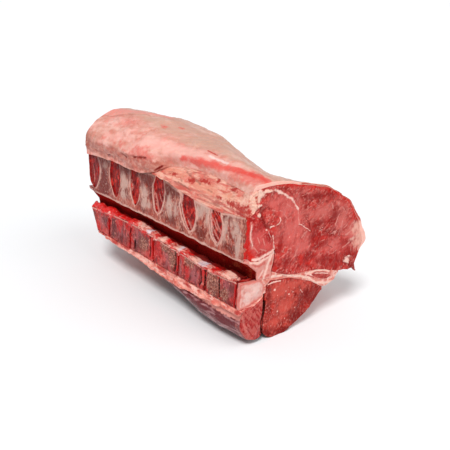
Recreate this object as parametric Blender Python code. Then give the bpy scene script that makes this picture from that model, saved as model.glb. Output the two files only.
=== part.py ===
"""Bone-in beef short loin: half of the lumbar spine, sawn lengthwise, with its muscles and fat.

Lengths are centimetres until a mesh is made, where CM turns them into metres. The joint's own
axes are: across, 0 on the sawn chine face and growing towards the flank; along, 0 on the cut
face at the rump end and growing towards the ribs; up, 0 at the underside of the backbone.
Sections are outlines of (across, up) points at a distance along. The whole leans LEAN degrees
towards its flank and rests on the tenderloin and on the lower edge of the flank.
"""
import math

import bmesh
import bpy
import numpy as np

CM = 0.01
LEAN = 4.73
LENGTH = 35.6
SEAM = 0.03
STATIONS = (0.0, 0.15, 3, 6, 9, 12, 15, 18, 19, 20, 21, 22.5, 25, 28, 31, 33.5, 35.4, LENGTH)
EDGE_ROUND = 0.1

# Backbone
PITCH = 6.0
FIRST_DISC = 0.7
DISC = 0.44
BONE_SIDE = 3.65
BONE_BOTTOM = 0.45
FEATHER = 0.65
ARCH_SIDE = 4.62
CANAL_DEPTH = 2.5
CANAL_CLOSING = 0.4
LAMINA = 6.6
CANAL_FAT = (1.2, 34.0)
# Share by which a body narrows and flattens at its waist, and a disc lies in from its edge
WAIST = (0.10, 0.07)
DISC_LIP = 0.01
# Block between the body and the arch, and how far the muscles lie back from the sawn bone
PEDICLE = ((2.6, 2.9), (2.6, 5.0), (3.6, 5.0), (3.6, 2.9))
RECESS = 0.03
BODY_TOP = {0: 3.8, 7: 3.45, 13: 3.8, 19: 4.15, 25: 4.35, 31: 4.15, 36: 3.8}
FEATHER_TIPS = {0: 11.9, 6: 11.3, 12: 11.8, 18: 12.5, 24: 12.4, 30: 12.3, 36: 12.1}
# Muscle between the feather bones: along at its top, along and height of its foot, half width
LIGAMENTS = ((5.7, 5.1, 7.3, 0.95), (11.3, 10.6, 7.9, 1.2), (18.0, 18.0, 8.3, 0.95),
             (24.1, 23.8, 7.6, 0.95), (29.8, 29.0, 7.0, 1.1), (34.9, 34.4, 6.9, 1.2))

# Red strip of muscle in the tail of the transverse layer, at each distance along: centre,
# half length, half thickness and slope
STRIP = {0: (13.5, 2.5, 1.9, 0.42, -14.0), 7: (13.6, 1.75, 1.3, 0.3, -24.0)}
STRIP_LENGTH = 7.0
# Level that the whole rests on, at the sawn face
REST = -4.92

# Fat cover, at each distance along: its edge over the feather bones, brow, crown, ridge,
# shoulder, haunch, side, flank and hem
SKIN = {
    0: ((0.3, 15.0), (1.4, 15.5), (4.0, 15.8), (8.0, 15.4), (13.3, 14.2), (17.4, 12.0),
        (20.0, 8.9), (21.45, 6.4), (21.0, 4.7)),
    6: ((1.1, 14.9), (1.7, 15.9), (4.1, 16.85), (7.2, 15.5), (12.4, 13.5), (17.0, 11.6),
        (19.9, 8.2), (20.9, 5.0), (20.2, 2.2)),
    12: ((1.3, 14.9), (1.9, 16.2), (5.0, 17.4), (8.6, 16.4), (12.6, 13.6), (16.8, 11.4),
         (19.6, 7.4), (20.2, 3.0), (19.2, -1.4)),
    18: ((0.9, 14.1), (1.5, 16.0), (5.0, 17.6), (10.0, 17.2), (13.6, 15.0), (17.2, 11.8),
         (19.6, 7.0), (19.6, 1.6), (18.0, -3.2)),
    21: ((-0.2, 12.9), (0.6, 15.9), (5.0, 17.9), (10.4, 17.6), (14.2, 15.5), (17.6, 12.0),
         (19.6, 7.0), (19.4, 1.3), (17.7, -3.4)),
    30: ((-0.3, 12.8), (-0.2, 15.4), (4.6, 18.6), (11.0, 17.9), (15.0, 16.0), (18.0, 12.4),
         (19.5, 7.0), (19.0, 1.2), (17.4, -3.4)),
    35.6: ((-0.2, 12.6), (-0.1, 15.3), (4.2, 18.4), (10.2, 17.7), (14.2, 15.9), (17.4, 12.2),
           (19.0, 7.0), (18.6, 1.2), (17.2, -3.4)),
}
COVER = {
    0: (0.5, 0.5, 0.5, 0.5, 0.45, 0.45, 0.7, 1.2, 0.9),
    12: (0.5, 0.6, 0.7, 0.7, 0.6, 0.5, 0.5, 0.6, 0.6),
    21: (0.95, 1.0, 0.9, 0.8, 0.7, 0.6, 0.6, 0.6, 0.6),
    36: (1.1, 1.3, 1.0, 0.9, 0.8, 0.7, 0.6, 0.6, 0.6),
}
PER_SPAN = 3
# The rib-end cut runs askew through the backbone: by how much it lies further along at each
# height there, and beyond BACKBONE_SIDE by how much all over
ASKEW = {0: -1.7, 3.9: 0.8, 7: 1.6, 12: 2.1, 15: 2.1}
ASKEW_REST = 2.1
ASKEW_FROM = 30.95
BACKBONE_SIDE = (4.0, 6.0)
FASCIA_END = 20.0
FASCIA_FADE = (18.0, 20.5)
TIP_GAP = 0.12
GLUTEUS_END = 13.0
GLUTEUS = (6, 20)
MUSCLE_ARC = ((6.3, 14.2), (8.2, 11.9), (8.7, 10.1), (10.5, 8.9), (14.5, 7.6))

# Muscle boundaries, each a few points at each distance along
ROOF = {0: ((1.3, 12.4), (1.7, 13.5)), 6: ((1.5, 12.4), (2.0, 13.6)),
        12: ((1.6, 12.8), (2.2, 13.8)), 18: ((1.4, 13.0), (1.9, 13.6))}
CHAIN = {0: ((3.2, 10.5), (4.3, 8.8), (5.02, 7.55)), 36: ((3.4, 10.4), (4.4, 8.6), (5.02, 7.55))}
BAR_TOP = {
    0: ((4.78, 4.5), (7.9, 3.6), (11.4, 3.5), (14.2, 3.05), (16.7, 2.4)),
    6: ((4.78, 4.4), (8.0, 3.8), (11.6, 3.2), (14.8, 2.2), (17.4, 0.6)),
    12: ((4.78, 4.3), (8.0, 3.9), (11.6, 2.9), (14.8, 0.9), (16.6, -2.2)),
    18: ((4.78, 4.3), (8.0, 3.9), (11.4, 2.8), (14.3, 0.4), (15.9, -3.6)),
    36: ((4.78, 4.3), (8.0, 3.9), (11.4, 2.8), (14.3, 0.4), (15.8, -3.6)),
}
BAR_BOTTOM = {
    0: ((4.6, 3.5), (8.0, 3.1), (11.6, 2.0), (14.0, 0.95), (15.9, 1.3)),
    6: ((4.55, 3.1), (8.0, 3.05), (11.6, 1.9), (14.2, 0.5), (16.2, -0.9)),
    12: ((4.55, 3.1), (8.0, 3.0), (11.3, 1.6), (13.7, -0.6), (15.2, -3.0)),
    18: ((4.55, 3.2), (8.0, 2.9), (10.9, 1.4), (13.2, -1.0), (14.5, -3.8)),
    36: ((4.55, 3.2), (8.0, 2.9), (10.9, 1.4), (13.2, -1.0), (14.5, -3.8)),
}
FLANK_FOOT = {0: (19.6, 2.4), 6: (18.6, 1.2), 12: (17.6, -1.9), 18: (16.7, -3.7), 36: (16.5, -3.7)}
TENDERLOIN = {
    0: ((14.0, 0.45), (11.7, -1.95), (9.3, -3.45), (7.4, -4.4), (6.0, -4.5), (4.8, -3.95),
        (4.15, -2.6), (4.25, -0.3), (4.15, 2.5)),
    12: ((12.6, 0.2), (11.4, -1.9), (9.4, -3.6), (7.6, -4.4), (5.6, -4.5), (4.4, -3.6),
         (4.05, -2.2), (4.1, -0.3), (4.15, 2.4)),
    22: ((10.9, 0.6), (10.2, -1.4), (8.9, -3.2), (7.4, -4.4), (5.7, -4.5), (4.5, -3.5),
         (4.15, -2.0), (4.15, -0.2), (4.15, 2.3)),
    28: ((8.8, 1.6), (8.4, -0.2), (7.8, -1.4), (6.9, -2.1), (5.8, -2.2), (4.9, -1.6),
         (4.5, -0.6), (4.4, 0.8), (4.5, 2.3)),
    31.5: ((7.2, 2.3), (7.1, 1.6), (6.8, 1.1), (6.3, 0.8), (5.8, 0.8), (5.4, 1.0),
           (5.2, 1.5), (5.1, 2.0), (5.2, 2.6)),
}
TENDERLOIN_END = 31.5
CHINE_BOTTOM = {0: ((0.0, -0.1), (1.8, 0.3), (3.6, 1.35)), 6: ((0.0, -0.5), (1.8, 0.1), (3.5, 1.1)),
                15: ((0.0, -0.7), (1.8, -0.1), (3.4, 0.8)), 24: ((0.0, -0.35), (1.8, 0.0), (3.4, 0.8)),
                36: ((0.0, 0.1), (1.8, 0.25), (3.4, 0.85))}
PSOAS = {
    0: ((3.6, -0.2), (3.4, -2.2), (3.7, -3.7), (2.6, -4.0), (1.4, -3.5), (0.4, -1.8)),
    6: ((3.5, -0.4), (3.4, -2.3), (3.3, -3.45), (2.3, -3.8), (1.1, -3.3), (0.3, -1.9)),
    12: ((3.3, -0.3), (3.2, -1.7), (2.9, -2.75), (2.1, -3.1), (1.1, -2.65), (0.35, -1.7)),
    18: ((3.2, 0.1), (3.0, -1.0), (2.5, -1.75), (1.9, -2.05), (1.2, -1.9), (0.5, -1.4)),
    21.5: ((3.2, 0.35), (2.9, 0.0), (2.4, -0.45), (1.9, -0.75), (1.3, -0.85), (0.7, -0.75)),
}
PSOAS_END = 21.5

# colour, roughness
FAT = ((0.78, 0.50, 0.42), 0.45)
PALE_FAT = ((0.85, 0.66, 0.54), 0.45)
LEAN_MEAT = ((0.48, 0.06, 0.06), 0.4)
DARK_MEAT = ((0.27, 0.03, 0.04), 0.4)
BONE = ((0.50, 0.33, 0.29), 0.6)
CARTILAGE = ((0.82, 0.62, 0.60), 0.4)


def along_table(table, distance):
    """Rows of a {distance: row} table, eased between neighbouring stations by a Hermite curve."""
    keys = sorted(table)
    rows = np.array([table[key] for key in keys], float)
    if distance <= keys[0]:
        return rows[0]
    if distance >= keys[-1]:
        return rows[-1]
    i = int(np.searchsorted(keys, distance, "right")) - 1
    span = keys[i + 1] - keys[i]
    t = (distance - keys[i]) / span
    slope = [None, None]
    for side, k in enumerate((i, i + 1)):
        low, high = max(k - 1, 0), min(k + 1, len(keys) - 1)
        slope[side] = (rows[high] - rows[low]) / (keys[high] - keys[low]) * span
    return ((2 * t**3 - 3 * t**2 + 1) * rows[i] + (t**3 - 2 * t**2 + t) * slope[0]
            + (3 * t**2 - 2 * t**3) * rows[i + 1] + (t**3 - t**2) * slope[1])


def curve_through(points, per_span):
    """Smooth (Catmull-Rom) curve through points, with per_span samples for each span."""
    points = np.asarray(points, float)
    padded = np.vstack((2 * points[0] - points[1], points, 2 * points[-1] - points[-2]))
    samples = []
    for i in range(len(points) - 1):
        before, start, end, after = padded[i:i + 4]
        for step in range(per_span):
            t = step / per_span
            samples.append(0.5 * (2 * start + (end - before) * t
                                  + (2 * before - 5 * start + 4 * end - after) * t**2
                                  + (3 * start - before - 3 * end + after) * t**3))
    samples.append(points[-1])
    return np.array(samples)


def normals_of(line):
    """Unit normals of an open line of points, to the right of its direction."""
    direction = np.gradient(line, axis=0)
    direction /= np.linalg.norm(direction, axis=1)[:, None]
    return np.stack((direction[:, 1], -direction[:, 0]), axis=1)


def fade(distance, start, end):
    """1 before start, 0 after end, eased between them."""
    t = min(max((distance - start) / (end - start), 0.0), 1.0)
    return 1 - t * t * (3 - 2 * t)


def skin(distance):
    """Outside of the fat cover, from its edge over the feather bones round to its hem."""
    return curve_through(along_table(SKIN, distance), PER_SPAN)


def under_cover(distance):
    """Inside of the fat cover: the skin moved inwards by the cover's thickness."""
    outside = skin(distance)
    rows = along_table(COVER, distance)
    thickness = np.interp(np.linspace(0, len(rows) - 1, len(outside)), range(len(rows)), rows)
    return outside + normals_of(outside) * thickness[:, None]


def roof(distance):
    """Boundary between the back fascia and the muscles; past the fascia it is the cover's."""
    cover = under_cover(distance)[:4]
    corner = (FEATHER + SEAM, feather_tip(distance) + TIP_GAP)
    fascia = np.vstack((corner, along_table(ROOF, distance), cover[3]))
    weight = fade(distance, *FASCIA_FADE)
    return weight * fascia + (1 - weight) * cover


def gluteus_line(distance):
    """White seam between the gluteus and the loin eye, which rises to the cover as it tapers."""
    first, last = GLUTEUS
    cover = under_cover(distance)[first:last + 1]
    arc = curve_through([cover[0], *MUSCLE_ARC, cover[-1]], 10)
    places = np.linspace(0, len(arc) - 1, len(cover))
    arc = np.stack([np.interp(places, range(len(arc)), arc[:, axis]) for axis in (0, 1)], axis=1)
    weight = fade(distance, -4.0, 15.0)
    return weight * arc + (1 - weight) * cover


def chain_line(distance):
    """Seam between the muscle beside the feather bones (multifidus) and the loin eye."""
    return curve_through([roof(distance)[1], *along_table(CHAIN, distance)], 3)


def bar_top(distance):
    """Top of the layer of transverse bone and fat under the loin eye."""
    return curve_through(along_table(BAR_TOP, distance), 3)


def bar_bottom(distance):
    """Underside of the layer of transverse bone and fat."""
    return curve_through(along_table(BAR_BOTTOM, distance), 3)


def chine_bottom(distance):
    """Underside of the fat band below the backbone."""
    return curve_through(along_table(CHINE_BOTTOM, distance), 3)


def inset(outline, gap):
    """Closed outline, clockwise, moved inwards by gap along its mitred corners."""
    outline = np.asarray(outline, float)
    ahead = np.roll(outline, -1, axis=0) - outline
    ahead /= np.maximum(np.linalg.norm(ahead, axis=1)[:, None], 1e-9)
    behind = np.roll(ahead, 1, axis=0)
    side = np.stack((ahead[:, 1], -ahead[:, 0]), axis=1)
    side_behind = np.stack((behind[:, 1], -behind[:, 0]), axis=1)
    mitre = side + side_behind
    length = np.maximum((mitre * side).sum(axis=1), 0.5)
    return outline + mitre / length[:, None] * gap


def body_top(distance):
    """Height of the backbone's floor of the canal."""
    return along_table({place: (height,) for place, height in BODY_TOP.items()}, distance)[0]


def feather_tip(distance):
    """Height of the feather bones' tips."""
    return along_table({place: (height,) for place, height in FEATHER_TIPS.items()}, distance)[0]


def canal_depth(distance):
    """How far across the canal reaches; it narrows towards the ribs."""
    return CANAL_DEPTH * (1 - CANAL_CLOSING * distance / LENGTH)


def askew(across, distance, up):
    """Point in the loin's own axes, shifted along so that the rib-end cut runs askew."""
    heights = sorted(ASKEW)
    beside = fade(across, *BACKBONE_SIDE)
    shift = beside * np.interp(up, heights, [ASKEW[h] for h in heights]) + (1 - beside) * ASKEW_REST
    return across, distance + (1 - fade(distance, ASKEW_FROM, LENGTH)) * shift, up


def material_of(name, finish):
    """Principled material with the piece's colour and roughness."""
    colour, roughness = finish
    material = bpy.data.materials.new(name)
    material.use_nodes = True
    shader = material.node_tree.nodes["Principled BSDF"]
    shader.inputs["Base Color"].default_value = (*colour, 1)
    shader.inputs["Roughness"].default_value = roughness
    shader.inputs["Metallic"].default_value = 0.0
    return material


def mesh_object(name, points, faces, finish):
    """Object in the loin's own axes from points in centimetres and closed faces."""
    mesh = bpy.data.meshes.new(name)
    mesh.from_pydata([tuple(np.array(askew(*point)) * CM) for point in points], [], faces)
    solid = bmesh.new()
    solid.from_mesh(mesh)
    bmesh.ops.recalc_face_normals(solid, faces=solid.faces)
    if solid.calc_volume(signed=True) < 0:
        bmesh.ops.reverse_faces(solid, faces=solid.faces)
    solid.to_mesh(mesh)
    solid.free()
    mesh.materials.append(material_of(name, finish))
    piece = bpy.data.objects.new(name, mesh)
    bpy.data.collections["beef_short_loin"].objects.link(piece)
    piece.parent = bpy.data.objects["lean"]
    return piece


def loft(name, outline_at, distances, finish, gap=SEAM / 2):
    """Solid through an outline's sections, with rounded ends and a seam's gap all round.

    Each side face is split along the diagonal that is shorter on the shared outline, so two
    pieces that share a boundary are split alike and keep their gap.
    """
    shared = [np.asarray(outline_at(distance), float) for distance in distances]
    if sum(np.cross(shared[0], np.roll(shared[0], -1, axis=0))) > 0:
        shared = [section[::-1] for section in shared]
    count = len(shared[0])
    points = []
    for k, (distance, section) in enumerate(zip(distances, shared)):
        rounding = EDGE_ROUND if k in (0, len(distances) - 1) else 0.0
        for across, up in inset(section, gap + rounding):
            rest = REST + math.tan(math.radians(LEAN)) * across
            points.append((across, distance, max(up, rest)))
    faces = [tuple(range(count)), tuple(reversed(range(len(points) - count, len(points))))]
    for k in range(len(distances) - 1):
        low, high = shared[k], shared[k + 1]
        for i in range(count):
            j = (i + 1) % count
            a, b, c, d = k * count + i, k * count + j, (k + 1) * count + j, (k + 1) * count + i
            if np.linalg.norm(low[i] - high[j]) <= np.linalg.norm(low[j] - high[i]):
                faces += [(a, c, b), (a, d, c)]
            else:
                faces += [(a, d, b), (b, d, c)]
    return mesh_object(name, points, faces, finish)


def slab(name, outline, start, thickness, finish):
    """Solid of a flat (along, up) outline, standing across from start by thickness."""
    near = [(start, along, up) for along, up in outline]
    far = [(start + thickness, along, up) for along, up in outline]
    count = len(outline)
    faces = [tuple(range(count)), tuple(reversed(range(count, 2 * count)))]
    faces += [(i, count + i, count + (i + 1) % count, (i + 1) % count) for i in range(count)]
    return mesh_object(name, near + far, faces, finish)


def prism(name, section_at, distances, finish):
    """Solid through sections run along: section_at gives (across, up) points at a distance."""
    sections = [section_at(distance) for distance in distances]
    count = len(sections[0])
    points = [(across, distance, up)
              for distance, section in zip(distances, sections) for across, up in section]
    faces = [tuple(range(count)), tuple(reversed(range(len(points) - count, len(points))))]
    for k in range(len(distances) - 1):
        for i in range(count):
            j = (i + 1) % count
            faces.append((k * count + i, k * count + j, (k + 1) * count + j, (k + 1) * count + i))
    return mesh_object(name, points, faces, finish)


def apply_modifiers(body):
    """Give the object the mesh that its modifiers make."""
    bpy.context.view_layer.update()
    evaluated = body.evaluated_get(bpy.context.evaluated_depsgraph_get())
    mesh = bpy.data.meshes.new_from_object(evaluated)
    body.modifiers.clear()
    body.data = mesh


def unite(body, *others):
    """Boolean union of closed pieces into the first, which keeps its name."""
    for other in others:
        joiner = body.modifiers.new("join", "BOOLEAN")
        joiner.operation = "UNION"
        joiner.solver = "EXACT"
        joiner.object = other
    apply_modifiers(body)
    for other in others:
        bpy.data.objects.remove(other, do_unlink=True)


def cut_away(body, cutter):
    """Boolean difference, applied, after which the cutter is removed."""
    cut = body.modifiers.new("cut", "BOOLEAN")
    cut.operation = "DIFFERENCE"
    cut.solver = "EXACT"
    cut.object = cutter
    apply_modifiers(body)
    bpy.data.objects.remove(cutter, do_unlink=True)


def strip_outline(distance, slack):
    """Lens-shaped section of the red strip in the flank's tail, grown by slack."""
    across, up, half_length, half_thickness, slope = along_table(STRIP, distance)
    turn = math.radians(slope)
    outline = []
    for step in range(12):
        angle = step * math.tau / 12
        along = (half_length + 2 * slack) * math.cos(angle)
        off = (half_thickness + slack) * math.sin(angle) * abs(math.sin(angle)) ** 0.4
        outline.append((across + along * math.cos(turn) - off * math.sin(turn),
                        up + along * math.sin(turn) + off * math.cos(turn)))
    return outline


def ligament_sides(number, slack=0.0):
    """Near and far edges, bottom to top, of the teardrop of muscle between two feather bones."""
    top_along, bottom_along, bottom, widest = LIGAMENTS[number]
    top = min(feather_tip(top_along + side * widest) for side in (-1, 0, 1)) - 0.06
    rise = np.linspace(0, 1, 8)
    centre = bottom_along + (top_along - bottom_along) * rise
    half = widest * np.sin(np.minimum(rise * 1.35, 1.0) * math.pi / 2) ** 0.8
    half = np.where(rise > 0.8, half * (1 - 1.3 * (rise - 0.8)), half) + slack
    half[0] = slack
    up = bottom + (top - bottom) * rise
    return np.stack((centre - half, up), 1), np.stack((np.minimum(centre + half, LENGTH), up), 1)


def body_outline(top):
    """Half of a vertebral body in section, flat on the sawn face, clockwise from its foot."""
    return [(0.0, BONE_BOTTOM), (0.0, top), (1.9, top), (3.0, top), (BONE_SIDE, top - 0.7),
            (BONE_SIDE, 1.75), (2.7, 1.1), (1.6, 0.72)]


def waisted_body(distance, start, end):
    """Body section drawn in at the waist, between the flared ends beside the discs."""
    waist = math.sin(math.pi * (distance - start) / (end - start))
    top = body_top(distance)
    middle = (top + BONE_BOTTOM) / 2
    narrow, flat = 1 - WAIST[0] * waist, 1 - WAIST[1] * waist
    return [(across * narrow, middle + (up - middle) * flat) for across, up in body_outline(top)]


def arch_outline(distance):
    """Half of a vertebral arch in section: the canal's vault, the pedicle and the lamina."""
    depth = canal_depth(distance)
    foot = body_top(distance) + 0.06
    vault = [(depth * x, y) for x, y in ((0, 6.4), (0.36, 6.05), (0.68, 5.4), (0.94, 4.9))]
    return [*vault, (depth, foot), (ARCH_SIDE, foot), (4.75, 5.5), (4.85, 6.4), (4.9, 7.25),
            (4.0, 6.72), (2.4, 6.32), (1.2, 6.42), (FEATHER, 6.8), (0.0, 6.8)]


def feather_outline(number, low, high):
    """Sawn feather bone, (along, up): between the muscles before and after it."""
    if number == 0:
        near_side = [(low, LAMINA), (low, FEATHER_TIPS[0] - 0.5)]
    else:
        near_side = [(low, LAMINA), *ligament_sides(number - 1, SEAM)[1]]
    far_side = [(high, LAMINA), *ligament_sides(number, SEAM)[0]]
    places = np.linspace(near_side[-1][0], far_side[-1][0], 4)
    ridge = [(place, feather_tip(place)) for place in places]
    return [*near_side, *ridge, *reversed(far_side)]


def add_backbone():
    """Half vertebrae with their arches and feather bones, and the discs and muscles between."""
    disc_places = [FIRST_DISC + PITCH * k for k in range(6)]
    arch_ends = [0.0] + [bottom_along for _, bottom_along, _, _ in LIGAMENTS[:5]] + [LENGTH]
    prism("end_plate", lambda distance: body_outline(BODY_TOP[0]),
          (0.0, FIRST_DISC - DISC / 2 - SEAM), CARTILAGE)
    for k, place in enumerate(disc_places):
        lip = [(across * (1 - DISC_LIP), max(up, BONE_BOTTOM + 0.05))
               for across, up in body_outline(body_top(place) - 0.1)]
        prism(f"disc_{k + 1}", lambda distance: lip, (place - DISC / 2, place + DISC / 2),
              CARTILAGE)
        start = place + DISC / 2 + SEAM
        end = disc_places[k + 1] - DISC / 2 - SEAM if k < 5 else LENGTH
        low = arch_ends[k] + (SEAM / 2 if k else 0)
        high = arch_ends[k + 1] - (SEAM / 2 if k < 5 else 0)
        body = prism(f"vertebra_{k + 1}", lambda distance: waisted_body(distance, start, end),
                     np.linspace(start, end, 6), BONE)
        ring = prism(f"arch_{k + 1}", arch_outline, np.linspace(low, high, 4), BONE)
        root = prism(f"root_{k + 1}", lambda distance: PEDICLE,
                     (max(start, low) + 0.2, min(end, high) - 0.2), BONE)
        blade = slab(f"feather_{k + 1}", feather_outline(k, low, high), 0.0, FEATHER, BONE)
        unite(body, ring, root, blade)
    for k in range(len(LIGAMENTS)):
        near_side, far_side = ligament_sides(k)
        slab(f"interspinous_muscle_{k + 1}", [*near_side, *far_side[:0:-1]], RECESS,
             FEATHER - 2 * RECESS, LEAN_MEAT)


def add_muscles():
    """Muscles of the back, each a loft between the boundaries that it shares with the next."""
    first, last = GLUTEUS

    def multifidus(distance):
        tops = roof(distance)
        floor = [(4.9, 7.4), (4.0, 6.82), (2.4, 6.42), (1.2, 6.52), (0.68, 6.95)]
        return [tops[0], *chain_line(distance), *floor]

    def loin_eye(distance):
        cover = under_cover(distance)
        return [*chain_line(distance)[::-1], roof(distance)[2], *cover[3:first],
                *gluteus_line(distance), *cover[last + 1:], along_table(FLANK_FOOT, distance),
                *bar_top(distance)[::-1], (4.95, 5.5), (5.0, 6.5)]

    def gluteus(distance):
        cover = under_cover(distance)[first:last + 1]
        return [*cover, *gluteus_line(distance)[-2:0:-1]]

    loft("multifidus", multifidus, STATIONS, LEAN_MEAT)
    loft("loin_eye", loin_eye, STATIONS, LEAN_MEAT)
    near = [distance for distance in STATIONS if distance < GLUTEUS_END]
    loft("gluteus", gluteus, near + [GLUTEUS_END], LEAN_MEAT)


def add_underside():
    """Layer of transverse bone and fat, the tenderloin and what lies below the backbone."""
    def bar(distance):
        top = body_top(distance)
        root = [(4.05, 2.9), (4.0, 1.85), (3.72, 1.85), (3.72, top - 0.75), (3.8, top - 0.02),
                (4.68, top - 0.02)]
        return [*bar_top(distance), *bar_bottom(distance)[::-1], *root]

    def tenderloin(distance):
        lower = curve_through(along_table(TENDERLOIN, distance), 2)
        ceiling = bar_bottom(distance)
        places = np.linspace(lower[-1][0] + 0.6, lower[0][0] - 0.1, 6)
        heights = np.interp(places, ceiling[:, 0], ceiling[:, 1]) - 0.03
        return [*np.stack((places, heights), axis=1), *lower]

    def chine_fat(distance):
        top = [(0.0, BONE_BOTTOM - 0.02), (1.6, 0.67), (2.7, 1.04), (3.68, 1.7)]
        return [*top, *chine_bottom(distance)[::-1]]

    def psoas_minor(distance):
        ceiling = chine_bottom(distance)[1:]
        side = curve_through([ceiling[-1], *along_table(PSOAS, distance), ceiling[0]], 2)
        return [*ceiling, *side[1:-1]]

    layer = loft("transverse_layer", bar, STATIONS, PALE_FAT)
    run = np.linspace(0, STRIP_LENGTH, 5)
    pocket = prism("pocket", lambda distance: strip_outline(distance, SEAM),
                   (-1.0, *run, STRIP_LENGTH + SEAM), PALE_FAT)
    cut_away(layer, pocket)
    prism("flank_strip", lambda distance: strip_outline(distance, 0.0), run, LEAN_MEAT)
    inner = [distance for distance in STATIONS if distance < TENDERLOIN_END - 1]
    loft("tenderloin", tenderloin, inner + [31.0, TENDERLOIN_END], LEAN_MEAT)
    loft("chine_fat", chine_fat, STATIONS, FAT)
    inner = [distance for distance in STATIONS if distance < PSOAS_END - 1]
    loft("psoas_minor", psoas_minor, inner + [PSOAS_END], DARK_MEAT)


def add_fat():
    """Fat cover, the streaked fascia beside the feather bones, and the fat left in the canal."""
    def cover(distance):
        return [*skin(distance), *under_cover(distance)[::-1]]

    def fascia(distance):
        edge = under_cover(distance)
        foot = np.array((0.0, feather_tip(distance) + TIP_GAP))
        reach = edge[0] - foot
        belly = foot + 0.45 * reach + 0.1 * np.array((-reach[1], reach[0]))
        face = curve_through([foot, belly, edge[0]], 3)
        return [*face[:-1], *edge[:3], *roof(distance)[::-1]]

    def canal_fat(distance):
        width = canal_depth(distance) * 0.82
        floor = body_top(distance) + 0.05
        wave = math.sin(2.1 * distance) + math.sin(3.7 * distance + 1.0)
        crest = floor + 0.42 + 0.10 * wave
        return [(0.25 + 0.06 * wave, floor), (0.3 + 0.06 * wave, floor + 0.2), (0.4 * width, crest),
                (0.75 * width, crest - 0.05), (width, floor + 0.25), (width, floor)]

    loft("canal_fat", canal_fat, np.linspace(CANAL_FAT[0], CANAL_FAT[1], 28), PALE_FAT)
    loft("fat_cover", cover, STATIONS, FAT)
    inner = [distance for distance in STATIONS if distance < FASCIA_END]
    loft("back_fascia", fascia, inner + [FASCIA_END], PALE_FAT)


def rest_on_floor():
    """Move the leaning whole so that its box stands on the floor, centred over the origin."""
    carrier = bpy.data.objects["lean"]
    bpy.context.view_layer.update()
    corners = np.array([piece.matrix_world @ vertex.co
                        for piece in carrier.children for vertex in piece.data.vertices])
    low, high = corners.min(axis=0), corners.max(axis=0)
    carrier.location = (-(low[0] + high[0]) / 2, -(low[1] + high[1]) / 2, -low[2])


def main():
    for leftover in list(bpy.data.objects):
        bpy.data.objects.remove(leftover, do_unlink=True)
    collection = bpy.data.collections.new("beef_short_loin")
    bpy.context.scene.collection.children.link(collection)
    carrier = bpy.data.objects.new("lean", None)
    carrier.rotation_euler = (0, math.radians(LEAN), 0)
    collection.objects.link(carrier)
    add_backbone()
    add_muscles()
    add_underside()
    add_fat()
    rest_on_floor()


main()
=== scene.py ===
"""Raw bone-in beef short loin: half a loin, sawn along the backbone, on a pale floor.

Shapes are worked out in the loin's own axes in centimetres: across, 0 on the sawn backbone and
growing towards the flank; along, 0 on the cut at the rump end and growing towards the ribs; up,
0 at the underside of the backbone. The whole leans a little towards its flank.
"""
import itertools
import math

import bpy
import numpy as np
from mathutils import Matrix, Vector


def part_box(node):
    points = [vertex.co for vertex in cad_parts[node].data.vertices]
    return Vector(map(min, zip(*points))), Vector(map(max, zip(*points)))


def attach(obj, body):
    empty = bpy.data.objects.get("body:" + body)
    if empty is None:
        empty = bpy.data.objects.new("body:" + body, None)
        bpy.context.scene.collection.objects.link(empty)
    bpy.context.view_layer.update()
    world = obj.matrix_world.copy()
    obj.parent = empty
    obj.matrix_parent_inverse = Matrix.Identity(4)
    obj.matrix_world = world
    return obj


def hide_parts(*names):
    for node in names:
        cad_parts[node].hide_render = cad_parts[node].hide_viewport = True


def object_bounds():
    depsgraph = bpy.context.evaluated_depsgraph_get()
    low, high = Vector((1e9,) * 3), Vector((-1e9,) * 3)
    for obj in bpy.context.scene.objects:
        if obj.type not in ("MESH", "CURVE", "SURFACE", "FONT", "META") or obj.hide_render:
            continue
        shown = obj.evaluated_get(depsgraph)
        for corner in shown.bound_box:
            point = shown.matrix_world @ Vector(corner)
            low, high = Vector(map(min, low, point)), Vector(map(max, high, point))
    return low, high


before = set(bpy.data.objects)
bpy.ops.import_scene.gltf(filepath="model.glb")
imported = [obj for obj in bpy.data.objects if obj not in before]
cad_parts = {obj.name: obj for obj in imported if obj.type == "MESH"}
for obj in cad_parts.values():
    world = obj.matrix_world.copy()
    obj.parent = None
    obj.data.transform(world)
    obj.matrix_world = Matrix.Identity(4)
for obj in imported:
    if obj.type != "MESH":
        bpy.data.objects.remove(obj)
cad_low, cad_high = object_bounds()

# ---------------------------------------------------------------------------------------------
# Axes, camera, floor and light. The backbone's end plate lies flat in the cut at the rump end,
# so its packed box places the loin's own axes. The floor is matt white card under a wide soft
# light, and the camera looks down on the corner between the sawn face and the cut.
CM = 0.01
LEAN = math.radians(4.73)
PLATE_FOOT, PLATE_TOP = 0.45, 3.8  # underside and top of the end plate
plate_low, plate_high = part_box("end_plate")
AXES_AT = np.array((plate_low.x - math.sin(LEAN) * PLATE_FOOT * CM, cad_low.y,
                    plate_high.z - math.cos(LEAN) * PLATE_TOP * CM))

CAMERA_FROM_AXES = np.array((-0.47897, -0.58504, 0.39148))
CAMERA_AZIMUTH, CAMERA_ELEVATION = math.radians(-38.10), math.radians(20.23)
camera = bpy.data.objects.new("camera", bpy.data.cameras.new("camera"))
bpy.context.scene.collection.objects.link(camera)
camera.data.lens = 57.06
camera.data.sensor_width = 36.0
camera.location = Vector(AXES_AT + CAMERA_FROM_AXES)
forward = Vector((-math.sin(CAMERA_AZIMUTH) * math.cos(CAMERA_ELEVATION),
                  math.cos(CAMERA_AZIMUTH) * math.cos(CAMERA_ELEVATION),
                  -math.sin(CAMERA_ELEVATION)))
camera.rotation_mode = "QUATERNION"
camera.rotation_quaternion = forward.to_track_quat("-Z", "Y")
bpy.context.scene.camera = camera


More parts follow.
